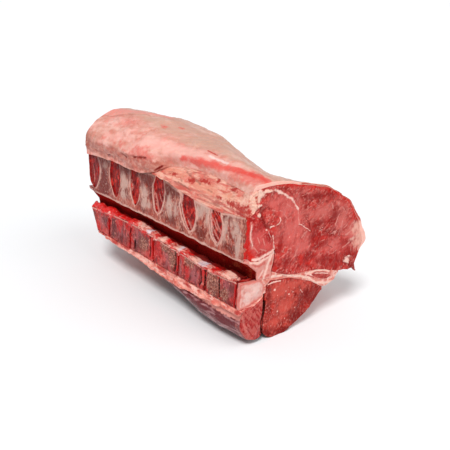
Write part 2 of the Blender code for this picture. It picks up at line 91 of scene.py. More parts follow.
def linear(hex_colour):
    """Linear RGBA of an sRGB hex colour: ((s + 0.055) / 1.055) ^ 2.4, or s / 12.92 when dark."""
    channels = [int(hex_colour[i:i + 2], 16) / 255 for i in (1, 3, 5)]
    return (*[c / 12.92 if c <= 0.04045 else ((c + 0.055) / 1.055) ** 2.4 for c in channels], 1)


FLOOR_SIZE = 30.0
corner = FLOOR_SIZE / 2
floor_mesh = bpy.data.meshes.new("floor")
floor_mesh.from_pydata([(-corner, -corner, 0), (corner, -corner, 0), (corner, corner, 0),
                        (-corner, corner, 0)], [], [(0, 1, 2, 3)])
floor = bpy.data.objects.new("floor", floor_mesh)
bpy.context.scene.collection.objects.link(floor)
# Matt white card: an even, pale ground that shows the soft shadow and no reflection
card = bpy.data.materials.new("matt_white_card")
card.use_nodes = True
card_shader = card.node_tree.nodes["Principled BSDF"]
card_shader.inputs["Base Color"].default_value = linear("#f4f5f6")
card_shader.inputs["Roughness"].default_value = 0.9
floor_mesh.materials.append(card)

studio = bpy.data.worlds.new("studio")
studio.use_nodes = True
studio.node_tree.nodes["Background"].inputs["Color"].default_value = linear("#fbfdff")
studio.node_tree.nodes["Background"].inputs["Strength"].default_value = 0.45
bpy.context.scene.world = studio
bpy.context.scene.view_settings.view_transform = "Standard"


def soft_sun(name, azimuth, elevation, strength, spread):
    """Distant light from azimuth (as the camera's) and elevation in degrees, spread wide."""
    lamp = bpy.data.objects.new(name, bpy.data.lights.new(name, "SUN"))
    bpy.context.scene.collection.objects.link(lamp)
    lamp.data.energy = strength
    lamp.data.angle = math.radians(spread)
    turn, rise = math.radians(azimuth), math.radians(elevation)
    back = Vector((math.sin(turn) * math.cos(rise), -math.cos(turn) * math.cos(rise),
                   math.sin(rise)))
    lamp.rotation_mode = "QUATERNION"
    lamp.rotation_quaternion = back.to_track_quat("Z", "Y")


soft_sun("key", -50, 55, 2.15, 20)
soft_sun("fill", 20, 40, 0.8, 50)

# ---------------------------------------------------------------------------------------------
# Fat cover: the fat under the hide, half to one centimetre thick, over the back and down the
# flank. It grows on the muscles through thin membranes. The hide was pulled off it, and the
# knife and the saw took it off along its ragged edge over the feather bones.
LENGTH = 35.6
# Tables give a section's corners, as (across, up), for each distance along
SKIN = {
    0: ((0.3, 15.0), (1.4, 15.5), (4.0, 15.8), (8.0, 15.4), (13.3, 14.2), (17.4, 12.0),
        (20.0, 8.9), (21.45, 6.4), (21.0, 4.7)),
    6: ((1.1, 14.9), (1.7, 15.9), (4.1, 16.85), (7.2, 15.5), (12.4, 13.5), (17.0, 11.6),
        (19.9, 8.2), (20.9, 5.0), (20.2, 2.2)),
    12: ((1.3, 14.9), (1.9, 16.2), (5.0, 17.4), (8.6, 16.4), (12.6, 13.6), (16.8, 11.4),
         (19.6, 7.4), (20.2, 3.0), (19.2, -1.4)),
    18: ((0.9, 14.1), (1.5, 16.0), (5.0, 17.6), (10.0, 17.2), (13.6, 15.0), (17.2, 11.8),
         (19.6, 7.0), (19.6, 1.6), (18.0, -3.2)),
    21: ((-0.2, 12.5), (0.6, 15.9), (5.0, 17.9), (10.4, 17.6), (14.2, 15.5), (17.6, 12.0),
         (19.6, 7.0), (19.4, 1.3), (17.7, -3.4)),
    30: ((-0.3, 12.2), (-0.2, 15.4), (4.6, 18.6), (11.0, 17.9), (15.0, 16.0), (18.0, 12.4),
         (19.5, 7.0), (19.0, 1.2), (17.4, -3.4)),
    35.6: ((-0.25, 11.8), (-0.15, 15.3), (4.2, 18.4), (10.2, 17.7), (14.2, 15.9), (17.4, 12.2),
           (19.0, 7.0), (18.6, 1.2), (17.2, -3.4)),
}
# Thickness of the cover at each of the skin's corners
COVER = {
    0: (0.5, 0.5, 0.5, 0.35, 0.15, 0.15, 0.4, 0.9, 0.6),
    4: (0.5, 0.5, 0.5, 0.5, 0.4, 0.4, 0.6, 1.0, 0.8),
    12: (0.5, 0.6, 0.7, 0.7, 0.6, 0.5, 0.5, 0.6, 0.6),
    21: (0.95, 1.0, 0.9, 0.8, 0.7, 0.6, 0.6, 0.6, 0.6),
    36: (1.1, 1.3, 1.0, 0.9, 0.8, 0.7, 0.6, 0.6, 0.6),
}
# In front of these the cover's edge thins out onto the fascia, and its hem to nothing at the
# flank; behind them both hang thick
EDGE_THINS, HEM_THINS = (17.5, 20.5), (4.0, 10.0)
# Points of a curve between two of its corners, and a third of them
PER_SPAN = 24
THIRD = PER_SPAN // 3
# Height at which the underside is pressed flat on the floor, where across is 0
REST = -4.92
# Rows that turn round the rim of an end cap
RIM_ROWS = 4
# The cut at the rib end runs askew: how much further along it lies at each height of the
# backbone and in the rest, where that starts, and where the backbone passes into the rest
ASKEW = {0: -1.7, 3.9: 0.8, 7: 1.6, 12: 2.1, 15: 2.1}
ASKEW_REST, ASKEW_FROM = 2.1, 30.95
BACKBONE_SIDE = (4.0, 6.0)
# How far the smooth noise moves a point, where the noise is 1
STRAY = 0.085


def smooth(value, start, end):
    """0 before start, 1 after end, eased between them as 3t^2 - 2t^3."""
    t = np.clip((value - start) / (end - start), 0.0, 1.0)
    return t * t * (3 - 2 * t)


def lumps(points, size, seed=0):
    """Smooth field from -1 to 1: hashed values at the corners of cubes, eased between them."""
    cell = np.asarray(points, float) / size
    base = np.floor(cell).astype(np.int64)
    t = cell - base
    t = t * t * (3 - 2 * t)
    total = np.zeros(cell.shape[:-1])
    # Large primes scatter the corners' whole coordinates, and shifts and a factor mix the bits
    primes = np.array((73856093, 19349663, 83492791))[:cell.shape[-1]]
    for step in itertools.product((0, 1), repeat=cell.shape[-1]):
        key = (base + step) @ primes + seed * 7919
        key = ((key ^ (key >> 13)) * 1274126177) & 0x7FFFFFFF
        value = ((key ^ (key >> 16)) & 0xFFFF) / 32767.5 - 1
        total += value * np.prod(np.where(step, t, 1 - t), axis=-1)
    return total


def rough(points, size, octaves=3, seed=0):
    """Sum of lumps of halving size and height."""
    return sum(lumps(points, size / 2**k, seed + k) / 2**k for k in range(octaves))


def strayed(points):
    """Points moved a millimetre or two by smooth noise, but for the flat sawn and cut faces."""
    across, along = points[..., 0], points[..., 1]
    sawn = smooth(across, 0.7, 2.0)
    inside = smooth(along, 0.0, 1.0) * (1 - smooth(along, LENGTH - 1.0, LENGTH))
    # The flank's edge beside the cut is the most ragged
    ragged = smooth(across, 12.0, 16.0) * (1 - smooth(along, 1.0, 5.0))
    stray = np.stack([rough(points, 1.6, 2, seed=seed) for seed in (101, 102, 103)], axis=-1)
    stray += ragged[..., None] * np.stack([rough(points, 1.1, 3, seed=seed)
                                           for seed in (105, 106, 107)], axis=-1)
    return points + STRAY * stray * np.stack((sawn, inside, np.ones(across.shape)), axis=-1)


def place(points):
    """World metres of points in the loin's axes: strayed, shifted askew, leant and moved."""
    points = strayed(points)
    across, along, up = points[..., 0], points[..., 1], points[..., 2]
    heights = sorted(ASKEW)
    beside = 1 - smooth(across, *BACKBONE_SIDE)
    shift = beside * np.interp(up, heights, [ASKEW[h] for h in heights])
    shift += (1 - beside) * ASKEW_REST
    along = along + smooth(along, ASKEW_FROM, LENGTH) * shift
    turned = (math.cos(LEAN) * across + math.sin(LEAN) * up, along,
              math.cos(LEAN) * up - math.sin(LEAN) * across)
    return AXES_AT + CM * np.stack(turned, axis=-1)


def along_table(table, distance):
    """Rows of a {distance: row} table, eased between neighbouring stations by a Hermite curve."""
    keys = sorted(table)
    rows = np.array([table[key] for key in keys], float)
    if distance <= keys[0]:
        return rows[0]
    if distance >= keys[-1]:
        return rows[-1]
    i = int(np.searchsorted(keys, distance, "right")) - 1
    span = keys[i + 1] - keys[i]
    t = (distance - keys[i]) / span
    slope = []
    for k in (i, i + 1):
        low, high = max(k - 1, 0), min(k + 1, len(keys) - 1)
        slope.append((rows[high] - rows[low]) / (keys[high] - keys[low]) * span)
    return ((2 * t**3 - 3 * t**2 + 1) * rows[i] + (t**3 - 2 * t**2 + t) * slope[0]
            + (3 * t**2 - 2 * t**3) * rows[i + 1] + (t**3 - t**2) * slope[1])


def curve_through(points, per_span=PER_SPAN):
    """Catmull-Rom curve through points: half of 2b + (c - a)t + (2a - 5b + 4c - d)t^2 + ..."""
    points = np.asarray(points, float)
    padded = np.vstack((2 * points[0] - points[1], points, 2 * points[-1] - points[-2]))
    t = np.linspace(0, 1, per_span, endpoint=False)[:, None]
    spans = [0.5 * (2 * b + (c - a) * t + (2 * a - 5 * b + 4 * c - d) * t**2
                    + (3 * b - a - 3 * c + d) * t**3)
             for a, b, c, d in zip(padded, padded[1:], padded[2:], padded[3:])]
    return np.vstack((*spans, points[-1:]))


def even_steps(line, count, crowd=1.0):
    """count points at even steps along a line; a crowd above 1 gathers them at its start."""
    line = np.asarray(line, float)
    run = np.concatenate(([0.0], np.cumsum(np.linalg.norm(np.diff(line, axis=0), axis=1))))
    at = run[-1] * np.linspace(0, 1, count) ** crowd
    return np.stack([np.interp(at, run, line[:, axis]) for axis in range(line.shape[1])], axis=1)


def solid(sides_at, stations, count, spine_at=None, cap_rows=(40, 20), rounding=(0.05, 0.05),
          crowd=1.0, rest=False):
    """Rings of a closed surface that runs along, as an array of (row, point, axis).

    sides_at gives a section's upper and lower side. A ring goes out along the upper side in
    count points and back along the lower one. Each end is closed by rows ruled from the ring,
    around a rounded rim, in to a spine between the two sides, where the rows meet themselves.
    The rim's radius is given for the upper and for the lower side. Also returned is each
    point's depth into its end cap, negative on the near end and positive on the far one.
    """
    def ring_at(distance):
        """Section at a distance: out along its upper side and back along its lower one."""
        upper, lower = (even_steps(side, count, crowd) for side in sides_at(distance))
        return np.vstack((upper, lower[-2:0:-1]))

    def cap(distance, inwards, rows):
        """Rows from an end's rounded rim in to its spine, and their depths into the cap."""
        ring = ring_at(distance)
        if spine_at is None:
            back = np.vstack((ring[:1], ring[:count - 1:-1], ring[count - 1:count]))
            spine = (ring[:count] + back) / 2
        else:
            spine = even_steps(spine_at(distance), count)
        spine = np.vstack((spine, spine[-2:0:-1]))
        reach = np.linalg.norm(spine - ring, axis=1)
        radius = np.minimum(np.repeat(rounding, (count, count - 2)), 0.5 * reach)
        direction = (spine - ring) / np.maximum(reach, 1e-9)[:, None]
        turn = np.linspace(0, math.pi / 2, RIM_ROWS)[:, None]
        share = np.linspace(0, 1, rows + 1)[1:, None]
        depths = np.vstack((radius * (1 - np.cos(turn)), radius + (reach - radius) * share))
        setbacks = np.vstack((radius * (1 - np.sin(turn)), 0 * radius * share))
        section = ring + depths[..., None] * direction
        along = distance + inwards * setbacks
        return np.stack((section[..., 0], along, section[..., 1]), axis=2), depths

    near, near_depth = cap(stations[0], 1, cap_rows[0])
    far, far_depth = cap(stations[-1], -1, cap_rows[1])
    sides = np.stack([np.insert(ring_at(distance), 1, distance, axis=1)
                      for distance in stations[1:-1]])
    points = np.concatenate((near[::-1], sides, far))
    depth = np.concatenate((-near_depth[::-1] - 1e-6, np.zeros(sides.shape[:2]), far_depth + 1e-6))
    if rest:
        points[..., 2] = np.maximum(points[..., 2], REST + math.tan(LEAN) * points[..., 0])
    return points, depth


def swelled(points, height):
    """Rings moved out along their normals, the cross product of their two directions."""
    around = np.roll(points, -1, axis=1) - np.roll(points, 1, axis=1)
    normal = np.cross(around, np.gradient(points, axis=0))
    normal /= np.maximum(np.linalg.norm(normal, axis=2, keepdims=True), 1e-6)
    return points + normal * height[..., None]


def mesh_piece(name, shells, material, nodes):
    """One smooth mesh object from ring arrays, with a float attribute for each named mark."""
    corners, faces, marks, start = [], [], {}, 0
    for points, shell_marks in shells:
        rows, ring = points.shape[:2]
        half = ring // 2 + 1
        index = start + np.arange(rows * ring).reshape(rows, ring)
        # The end rows lie on their spines, where the way back runs over the way out
        fold = np.where(np.arange(ring) < half, np.arange(ring), ring - np.arange(ring))
        index[0], index[-1] = index[0][fold], index[-1][fold]
        ahead = np.roll(index, -1, axis=1)
        quads = np.stack((index[:-1], index[1:], ahead[1:], ahead[:-1]), axis=-1).reshape(-1, 4)
        world = place(points).reshape(-1, 3)
        world[:, 2] = np.maximum(world[:, 2], 0.0)
        # Faces point outwards when their wedges from the origin have a positive volume
        p, q, r, s = (world[quads[:, k] - start] for k in range(4))
        volume = (np.einsum("ij,ij->i", p, np.cross(q, r)).sum()
                  + np.einsum("ij,ij->i", p, np.cross(r, s)).sum())
        corners.append(world)
        faces.append(quads if volume > 0 else quads[:, ::-1])
        for mark, values in shell_marks.items():
            marks.setdefault(mark, []).append(np.broadcast_to(values, (rows, ring)).ravel())
        start += rows * ring
    corners, faces = np.vstack(corners), np.vstack(faces)
    used, renumbered = np.unique(faces, return_inverse=True)
    mesh = bpy.data.meshes.new(name)
    mesh.from_pydata(corners[used].tolist(), [], renumbered.reshape(-1, 4).tolist())
    mesh.shade_smooth()
    for mark, values in marks.items():
        layer = mesh.attributes.new(mark, "FLOAT", "POINT")
        layer.data.foreach_set("value", np.concatenate(values)[used].astype(np.float32))
    mesh.materials.append(material)
    piece = bpy.data.objects.new(name, mesh)
    bpy.context.scene.collection.objects.link(piece)
    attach(piece, "root")
    if nodes:
        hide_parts(*nodes)
    return piece


def wandering(points, size, amount, seed=0):
    """Points shifted by smooth noise along each of their axes, so that what is drawn meanders."""
    shift = [rough(points, size, 2, seed=seed + axis) for axis in range(points.shape[-1])]
    return points + amount * np.stack(shift, axis=-1)


def on_line(points, line, half_width):
    """Mark along a line: 1 on it, 0.5 at half_width from it and 0 at twice that."""
    line = np.asarray(line, float)
    closest = np.full(points.shape[:-1], np.inf)
    for a, b in zip(line[:-1], line[1:]):
        span = b - a
        t = np.clip(((points - a) @ span) / (span @ span), 0, 1)
        closest = np.minimum(closest, np.linalg.norm(points - a - t[..., None] * span, axis=-1))
    return np.clip(1 - closest / (2 * half_width), 0, 1)


def on_lines(points, lines):
    """Highest of the marks along several lines (half width, then the corners in a row)."""
    return np.max([on_line(points, np.reshape(corners, (-1, points.shape[-1])), half_width)
                   for half_width, *corners in lines], axis=0)


def on_spots(points, spots):
    """Mark over oval spots (centre, then half sizes): 1 in the middle, 0.5 on each one's edge."""
    marks = [1 - np.linalg.norm((points - centre) / half, axis=-1) / 2
             for centre, half in np.reshape(spots, (len(spots), 2, -1))]
    return np.clip(np.max(marks, axis=0), 0, 1)


def add_node(tree, kind, inputs=None, **settings):
    """Node with its settings; an input is a value, or another node's output to link from."""
    node = tree.nodes.new(kind)
    for name, value in settings.items():
        setattr(node, name, value)
    for name, value in (inputs or {}).items():
        if isinstance(value, bpy.types.NodeSocket):
            tree.links.new(value, node.inputs[name])
        else:
            node.inputs[name].default_value = value
    return node


def blotches(tree, size_mm, turn=(0, 0, 0), detail=3.0, seed=0):
    """Noise with features of a size in millimetres along each axis, turned by degrees."""
    sizes = (size_mm,) * 3 if isinstance(size_mm, (int, float)) else size_mm
    where = add_node(tree, "ShaderNodeTexCoord").outputs["Object"]
    spread = add_node(tree, "ShaderNodeMapping", vector_type="TEXTURE", inputs={
        "Vector": where, "Location": (0.37 * seed, 0.11 * seed, 0.23 * seed),
        "Rotation": tuple(math.radians(angle) for angle in turn),
        "Scale": tuple(size / 1000 for size in sizes)})
    return add_node(tree, "ShaderNodeTexNoise", {"Vector": spread.outputs["Vector"], "Scale": 1.0,
                                                 "Detail": detail}).outputs["Fac"]


def tissue(name, base, blotched=(), marked=(), bumps=((1.5, 0.25),), roughness=0.42, soft=0.1,
           wet=0.16, shine=0.17, dull=None):
    """Wet tissue: a base colour, then noise-edged blotches of others, then the marked places.

    A blotch is (colour, size in mm, threshold, softness, amount) and may end with its turn. A
    mark is (attribute, colour, size in mm of the noise that roughens its edge, how far it does,
    softness, amount). Each lays its colour over those before it, by an amount eased from 0 up
    as its noise or its mark goes from softness below the threshold to softness above it.
    A bump is (size in mm, height in mm), and dull names a mark of places without any shine.
    Light enters the tissue by a millimetre or two, the red furthest, and a thin film of juice
    lies on it as a coat.
    """
    material = bpy.data.materials.new(name)
    material.use_nodes = True
    tree = material.node_tree
    shader = tree.nodes["Principled BSDF"]
    layers = []
    for seed, (tint, size, threshold, softness, amount, *turn) in enumerate(blotched):
        layers.append((blotches(tree, size, *turn, seed=seed), threshold, softness, tint, amount))
    for seed, (mark, tint, size, wobble, softness, amount) in enumerate(marked):
        level = add_node(tree, "ShaderNodeAttribute", attribute_name=mark).outputs["Fac"]
        noise = blotches(tree, size, detail=2.5, seed=seed + 20)
        level = add_node(tree, "ShaderNodeMath", operation="MULTIPLY_ADD", inputs={
            0: noise, 1: wobble, 2: level}).outputs[0]
        layers.append((level, 0.5 + wobble / 2, softness, tint, amount))
    colour = linear(base)
    for level, threshold, softness, tint, amount in layers:
        share = add_node(tree, "ShaderNodeMapRange", interpolation_type="SMOOTHSTEP", inputs={
            "Value": level, "From Min": threshold - softness, "From Max": threshold + softness,
            "To Min": 0.0, "To Max": amount})
        colour = add_node(tree, "ShaderNodeMix", data_type="RGBA", inputs={
            0: share.outputs["Result"], 6: colour, 7: linear(tint)}).outputs[2]
    tree.links.new(colour, shader.inputs["Base Color"])
    normal = None
    for seed, (size, height) in enumerate(bumps):
        inputs = {"Height": blotches(tree, size, detail=2.0, seed=seed + 40),
                  "Distance": height / 1000}
        if normal is not None:
            inputs["Normal"] = normal
        normal = add_node(tree, "ShaderNodeBump", inputs).outputs["Normal"]
    tree.links.new(normal, shader.inputs["Normal"])
    for socket, value in {
            "Roughness": roughness, "IOR": 1.4, "Specular IOR Level": shine, "Coat Weight": wet,
            "Coat Roughness": 0.12, "Coat IOR": 1.3, "Subsurface Weight": soft,
            "Subsurface Radius": (1.0, 0.35, 0.2), "Subsurface Scale": 0.002}.items():
        shader.inputs[socket].default_value = value
    if dull is not None:
        level = add_node(tree, "ShaderNodeAttribute", attribute_name=dull).outputs["Fac"]
        for socket, most in (("Specular IOR Level", shine), ("Coat Weight", wet)):
            kept = add_node(tree, "ShaderNodeMapRange", {
                "Value": level, "To Min": most, "To Max": 0.0})
            tree.links.new(kept.outputs["Result"], shader.inputs[socket])
    return material


def skin(distance):
    """Outside of the fat cover, from its edge over the feather bones round to its hem."""
    return curve_through(along_table(SKIN, distance))


def under_cover(distance):
    """Inside of the fat cover: the skin moved inwards by the cover's thickness."""
    outside = skin(distance)
    rows = along_table(COVER, distance)
    thickness = np.interp(np.linspace(0, len(rows) - 1, len(outside)), range(len(rows)), rows)
    direction = np.gradient(outside, axis=0)
    direction /= np.linalg.norm(direction, axis=1)[:, None]
    normal = np.stack((direction[:, 1], -direction[:, 0]), axis=1)
    return outside + normal * thickness[:, None]


def cover_sides(distance):
    """Outer and inner side of the cover, between the tips of its torn edge and of its hem."""
    outside, inside = skin(distance), under_cover(distance)
    share = np.linspace(0, 1, PER_SPAN)[:, None]
    thin = 1 - smooth(distance, *EDGE_THINS)
    outside[:PER_SPAN] += thin * (1 - share) * (inside - outside)[:PER_SPAN]
    thin = share ** 2 * (1 - smooth(distance, *HEM_THINS))
    outside[-PER_SPAN:] += 0.9 * thin * (inside - outside)[-PER_SPAN:]
    tip, hem = (outside[0] + inside[0]) / 2, (outside[-1] + inside[-1]) / 2
    return np.vstack((tip, outside, hem)), np.vstack((tip, inside, hem))


points, depth = solid(cover_sides, np.linspace(0, LENGTH, 168), 265, cap_rows=(7, 5),
                      rounding=(0.12, 0.01), crowd=1.35)
across, along, up = np.moveaxis(points, 2, 0)
torn_edge = (1 - smooth(np.abs(up - 13.4), 0.3, 1.6)) * smooth(along, 17, 20) * (across < 2.5)
lean_side = smooth(across, 7.5, 9.0), smooth(up, 8.3, 9.5)
drawn = wandering(points, 1.3, 0.16, seed=11)
crack = [
    (0.32, 19.63, 12.9), (1.0, 18.9, 13.6), (0.95, 18.2, 14.3), (1.15, 17.2, 15.0),
    (1.25, 16.2, 14.95), (1.3, 14.8, 15.0)
]
folds = [
    (0.14, -0.33, 24.2, 14.0, -0.2, 22.8, 14.15, -0.05, 21.5, 14.4),
    (0.11, -0.43, 26.9, 13.9, -0.4, 25.9, 13.5), (0.1, -0.4, 31.4, 12.9, -0.4, 30.4, 13.1),
    (0.07, 0.2, 25.6, 15.4, 0.7, 23.9, 15.7, 1.0, 22.9, 15.5),
    (0.07, 0.9, 20.6, 14.6, 1.3, 19.5, 15.0, 1.5, 18.4, 15.4),
    (0.06, -0.4, 28.7, 13.9, -0.35, 27.6, 14.6)
]
# Pale ridge along the back: a painted highlight where the surface turns from the top to the side
ridge_highlight = [
    (-0.2, 24.8, 15.2), (1.3, 21.9, 16.5), (1.8, 18.4, 16.3), (2.1, 14.7, 16.4), (2.2, 9.7, 16.3)
]
band = [
    (1.3, 15.2, 15.5), (1.6, 12.0, 15.8), (1.8, 10.3, 16.0), (2.0, 7.0, 16.1), (2.6, 3.5, 16.1),
    (3.2, 0.5, 15.8)
]
rim_fold = [
    (0.59, 37.2, 16.1), (1.42, 36.2, 16.9), (2.29, 35.2, 17.5), (3.05, 33.7, 18.0),
    (4.06, 32.0, 18.5), (5.83, 29.2, 18.7), (7.2, 27.6, 18.7)
]
slits = [
    (0.10, 3.45, 12.4, 17.03, 3.3, 11.0, 16.95, 3.2, 9.85, 16.9),
    (0.05, 4.5, 24.5, 18.1, 4.7, 23.9, 18.1), (0.05, 6.2, 22.2, 18.1, 6.0, 21.5, 18.1),
    (0.06, 2.0, 20.7, 16.8, 2.25, 19.3, 16.7), (0.08, 4.1, 24.3, 17.9, 4.3, 23.2, 17.9)
]
rim = [
    (0.2, 38.0, 16.2), (1.0, 37.9, 17.2), (2.1, 37.2, 18.0), (3.4, 35.8, 18.5), (4.9, 33.6, 18.8),
    (6.6, 30.6, 18.9), (8.0, 28.8, 18.8)
]
marks = {
    "rim": on_line(drawn, rim, 1.15),
    "rim_fold": np.maximum(on_line(drawn, rim_fold, 0.13), on_spots(points, [
        (4.06, 32.0, 18.5, 0.25, 0.5, 0.3)])),
    "ridge_highlight": on_line(drawn, ridge_highlight, 1.0),
    "band": on_line(drawn, band, 0.5),
    "slits": on_lines(points, slits),
    # Cracks and folds: red of the torn fat, darkened by painted shade in the creases
    "cracks_and_shade": np.maximum(on_line(drawn, crack, 0.15), 0.9 * on_lines(drawn, folds)),
    # Torn edge: red brown of the torn fat, darkened further by painted shade under its overhang
    "torn_and_shaded": np.clip(0.9 * torn_edge, 0, 1),
    "scars": 0.35 * torn_edge,
    "tan": (smooth(drawn[..., 0] - 0.6 * smooth(drawn[..., 1], 20, 32), 2.0, 4.4) * 0.78
            * (1 - 0.6 * smooth(10 - up, 0, 2) * smooth(2 - along, 0, 1))),
    "haze": (0.28 + 0.34 * rough(points * (1, 0.4, 1), 1.5, seed=13)) * smooth(across, 2, 4),
    "flush": (0.22 + 0.34 * rough(points * (1, 0.5, 1), 1.9, seed=16)) * smooth(across, 1, 3),
    "gleam": on_line(points, [(2.7, 10.9, 16.6), (2.65, 7.1, 16.5)], 0.18),
    # Far shoulder: darker brown tan, partly the fat's own tan and partly painted shade on that
    # side
    "shoulder": on_spots(drawn, [
        (-0.4, 36.4, 14.2, 2.0, 2.6, 1.3), (0.0, 37.0, 15.2, 1.0, 1.3, 1.6)]),
    "blush": on_spots(drawn, [
        (2.4, 2.0, 15.9, 1.6, 2.0, 0.8), (0.2, 23.0, 14.6, 0.6, 2.6, 1.0),
        (1.2, 12.8, 15.3, 0.6, 2.5, 0.5), (6.1, 21.9, 18.0, 0.3, 0.6, 0.6),
        (4.6, 24.2, 18.0, 0.35, 0.7, 0.5), (0.2, 27.5, 14.6, 0.5, 1.2, 0.7)]),
    "cut": (depth < 0) * smooth(-depth, 0.04, 0.12) * lean_side[0] * lean_side[1],
    "cut_fat": ((depth < 0) * smooth(-depth, 0.0, 0.05)
                * np.maximum(1 - lean_side[0], 1 - lean_side[1])
                + on_spots(points, [(21.0, 0.2, 6.4, 0.9, 0.9, 2.2)])),
}
height = (0.10 * rough(points, 2.6, seed=3) + 0.035 * rough(points, 0.7, seed=5)
          + 0.26 * torn_edge * rough(points * (1, 0.6, 1), 0.8, seed=9)
          - 0.17 * smooth(marks["cracks_and_shade"], 0.2, 0.9) - 0.06 * smooth(marks["slits"], 0.4, 0.9))
points = swelled(points, height * np.where(np.abs(depth) > 0, 0.3, 1.0))
# Surface fat, dried in the cold store: cream to tan, flushed with pink where it is thin, waxy
# more than wet, with red in the cracks where it has torn. Painted shade darkens the cracks, the
# torn edge and the far shoulder, and a painted highlight lies along the pale ridge
surface_fat = tissue(
    "dried_beef_surface_fat", "#dc978a",
    blotched=(("#ecaca0", 34, 0.50, 0.10, 0.85),
              ("#c98470", (18, 50, 18), 0.50, 0.10, 0.6, (0, 0, 12)),
              ("#e3786b", 24, 0.55, 0.10, 0.6),
              ("#f3c3b6", (9, 24, 9), 0.55, 0.12, 0.5, (0, 0, 20)),
              ("#b9624f", (7, 16, 7), 0.60, 0.08, 0.3, (0, 0, -25)),
              ("#f5cfc3", 5, 0.62, 0.08, 0.25)),
    marked=(("tan", "#ca9c88", 16, 0.9, 0.34, 0.8),
            ("haze", "#e6bcae", (4, 9, 4), 0.8, 0.2, 0.65),
            ("flush", "#c97a6b", (5, 9, 5), 0.8, 0.2, 0.55),
            # Painted highlight along the ridge
            ("ridge_highlight", "#f0b4a8", 10, 0.7, 0.3, 0.65),
            # Far shoulder: partly painted shade
            ("shoulder", "#9c6552", 9, 0.6, 0.28, 0.75),
            ("rim", "#ec9085", 8, 0.8, 0.26, 0.75),
            ("rim_fold", "#b56b5c", 3, 0.6, 0.22, 0.6),
            ("blush", "#db5a50", 6, 1.1, 0.28, 0.7),
            ("band", "#dd4238", (6, 14, 6), 1.1, 0.32, 0.8),
            # Torn edge: the torn fat's red brown, partly painted shade
            ("torn_and_shaded", "#a04a3b", 9, 1.5, 0.32, 0.7),
            ("scars", "#eebfae", (4, 7, 4), 1.4, 0.3, 0.5),
            ("gleam", "#f6e3dd", (3, 7, 3), 1.3, 0.35, 0.55),
            ("slits", "#c23228", 2, 0.6, 0.2, 0.85),
            # Cracks: dark red, partly the torn fat's red and partly painted shade
            ("cracks_and_shade", "#84160f", 2.6, 0.9, 0.32, 0.92),
            ("cut_fat", "#eeb5a6", 3, 0.9, 0.2, 0.9),
            ("cut", "#b5362d", 2.5, 0.5, 0.25, 0.9)),
    bumps=((7, 1.2), (2.0, 0.35)), roughness=0.42, wet=0.12, soft=0.1)
mesh_piece("fat_cover_skin", [(points, marks)], surface_fat, ["fat_cover"])

# ---------------------------------------------------------------------------------------------
# Back fascia: the sheet of white fibres and soft fat that ties the back's muscles to the tips
# of the feather bones. It was laid bare where the fat cover was pulled off, so it is streaked
# along the back, bloody in its hollows, and frayed into cream flaps at the cut.
# Height of the feather bones' tips, and two corners of the fascia's underside beyond them
FEATHER_TIPS = {0: 11.9, 6: 11.3, 12: 11.8, 18: 12.5, 24: 12.4, 30: 12.3, 36: 12.1}
ROOF = {0: ((1.3, 12.4), (1.7, 13.5)), 6: ((1.5, 12.4), (2.0, 13.6)),
        12: ((1.6, 12.8), (2.2, 13.8)), 18: ((1.4, 13.0), (1.9, 13.6))}
FEATHER = 0.65  # thickness of the halved feather bones
# Gaps between neighbours, and over the feather bones' tips
SEAM = 0.03
TIP_GAP = 0.02
# Where the fascia ends, and where its underside passes into the cover's
FASCIA_END = 20.0
FASCIA_FADE = (18.0, 20.5)


def height_along(table, distance):
    """One height from a {distance: height} table."""
    return along_table({station: (height,) for station, height in table.items()}, distance)[0]


def feather_tip(distance):
    """Height of the feather bones' tips."""
    return height_along(FEATHER_TIPS, distance)


def roof(distance):
    """Boundary between the back fascia and the muscles; past the fascia it is the cover's."""
    cover = under_cover(distance)[:PER_SPAN + 1]
    corner = (FEATHER + SEAM, feather_tip(distance) + TIP_GAP)
    corners = np.vstack((corner, along_table(ROOF, distance), cover[-1]))
    at = np.linspace(0, 3, len(cover))
    fascia = np.stack([np.interp(at, range(4), corners[:, axis]) for axis in (0, 1)], axis=1)
    weight = 1 - smooth(distance, *FASCIA_FADE)
    return weight * fascia + (1 - weight) * cover


def fascia_sides(distance):
    """Outer side, from the feather tips up to the cover's edge and on beneath the cover, and
    inner side, over the feather bones and the muscle beside them."""
    edge = under_cover(distance)
    foot = np.array((0.0, feather_tip(distance) + TIP_GAP))
    reach = edge[0] - foot
    belly = foot + 0.45 * reach + 0.1 * np.array((-reach[1], reach[0]))
    face = np.vstack((curve_through([foot, belly, edge[0]])[:-1], edge[:PER_SPAN + 1]))
    return face, np.vstack((foot, roof(distance)))


# Where the cut gapes beside the chine
CHINE_SLIT = (2.15, 12.9, 2.4, 12.0, 2.7, 11.2, 3.2, 10.6, 3.8, 10.3)


def cut_relief(section):
    """How far the cut at the rump end stands out, over all its pieces alike: soft lumps, finer
    ones and the slit beside the chine."""
    slit = on_lines(section, [(0.2, *CHINE_SLIT)])
    return (0.10 * rough(section, 2.4, seed=21) + 0.04 * rough(section, 0.7, seed=24)
            - 0.09 * smooth(slit, 0.2, 1.0))


def with_cut(points, depth, extra=0.0):
    """Rings with their near end moved out by the relief of the cut, and by extra."""
    points = points.copy()
    relief = cut_relief(points[..., ::2]) + extra
    points[..., 1] -= np.where(depth < 0, relief * smooth(-depth, 0.0, 0.08), 0.0)
    return points


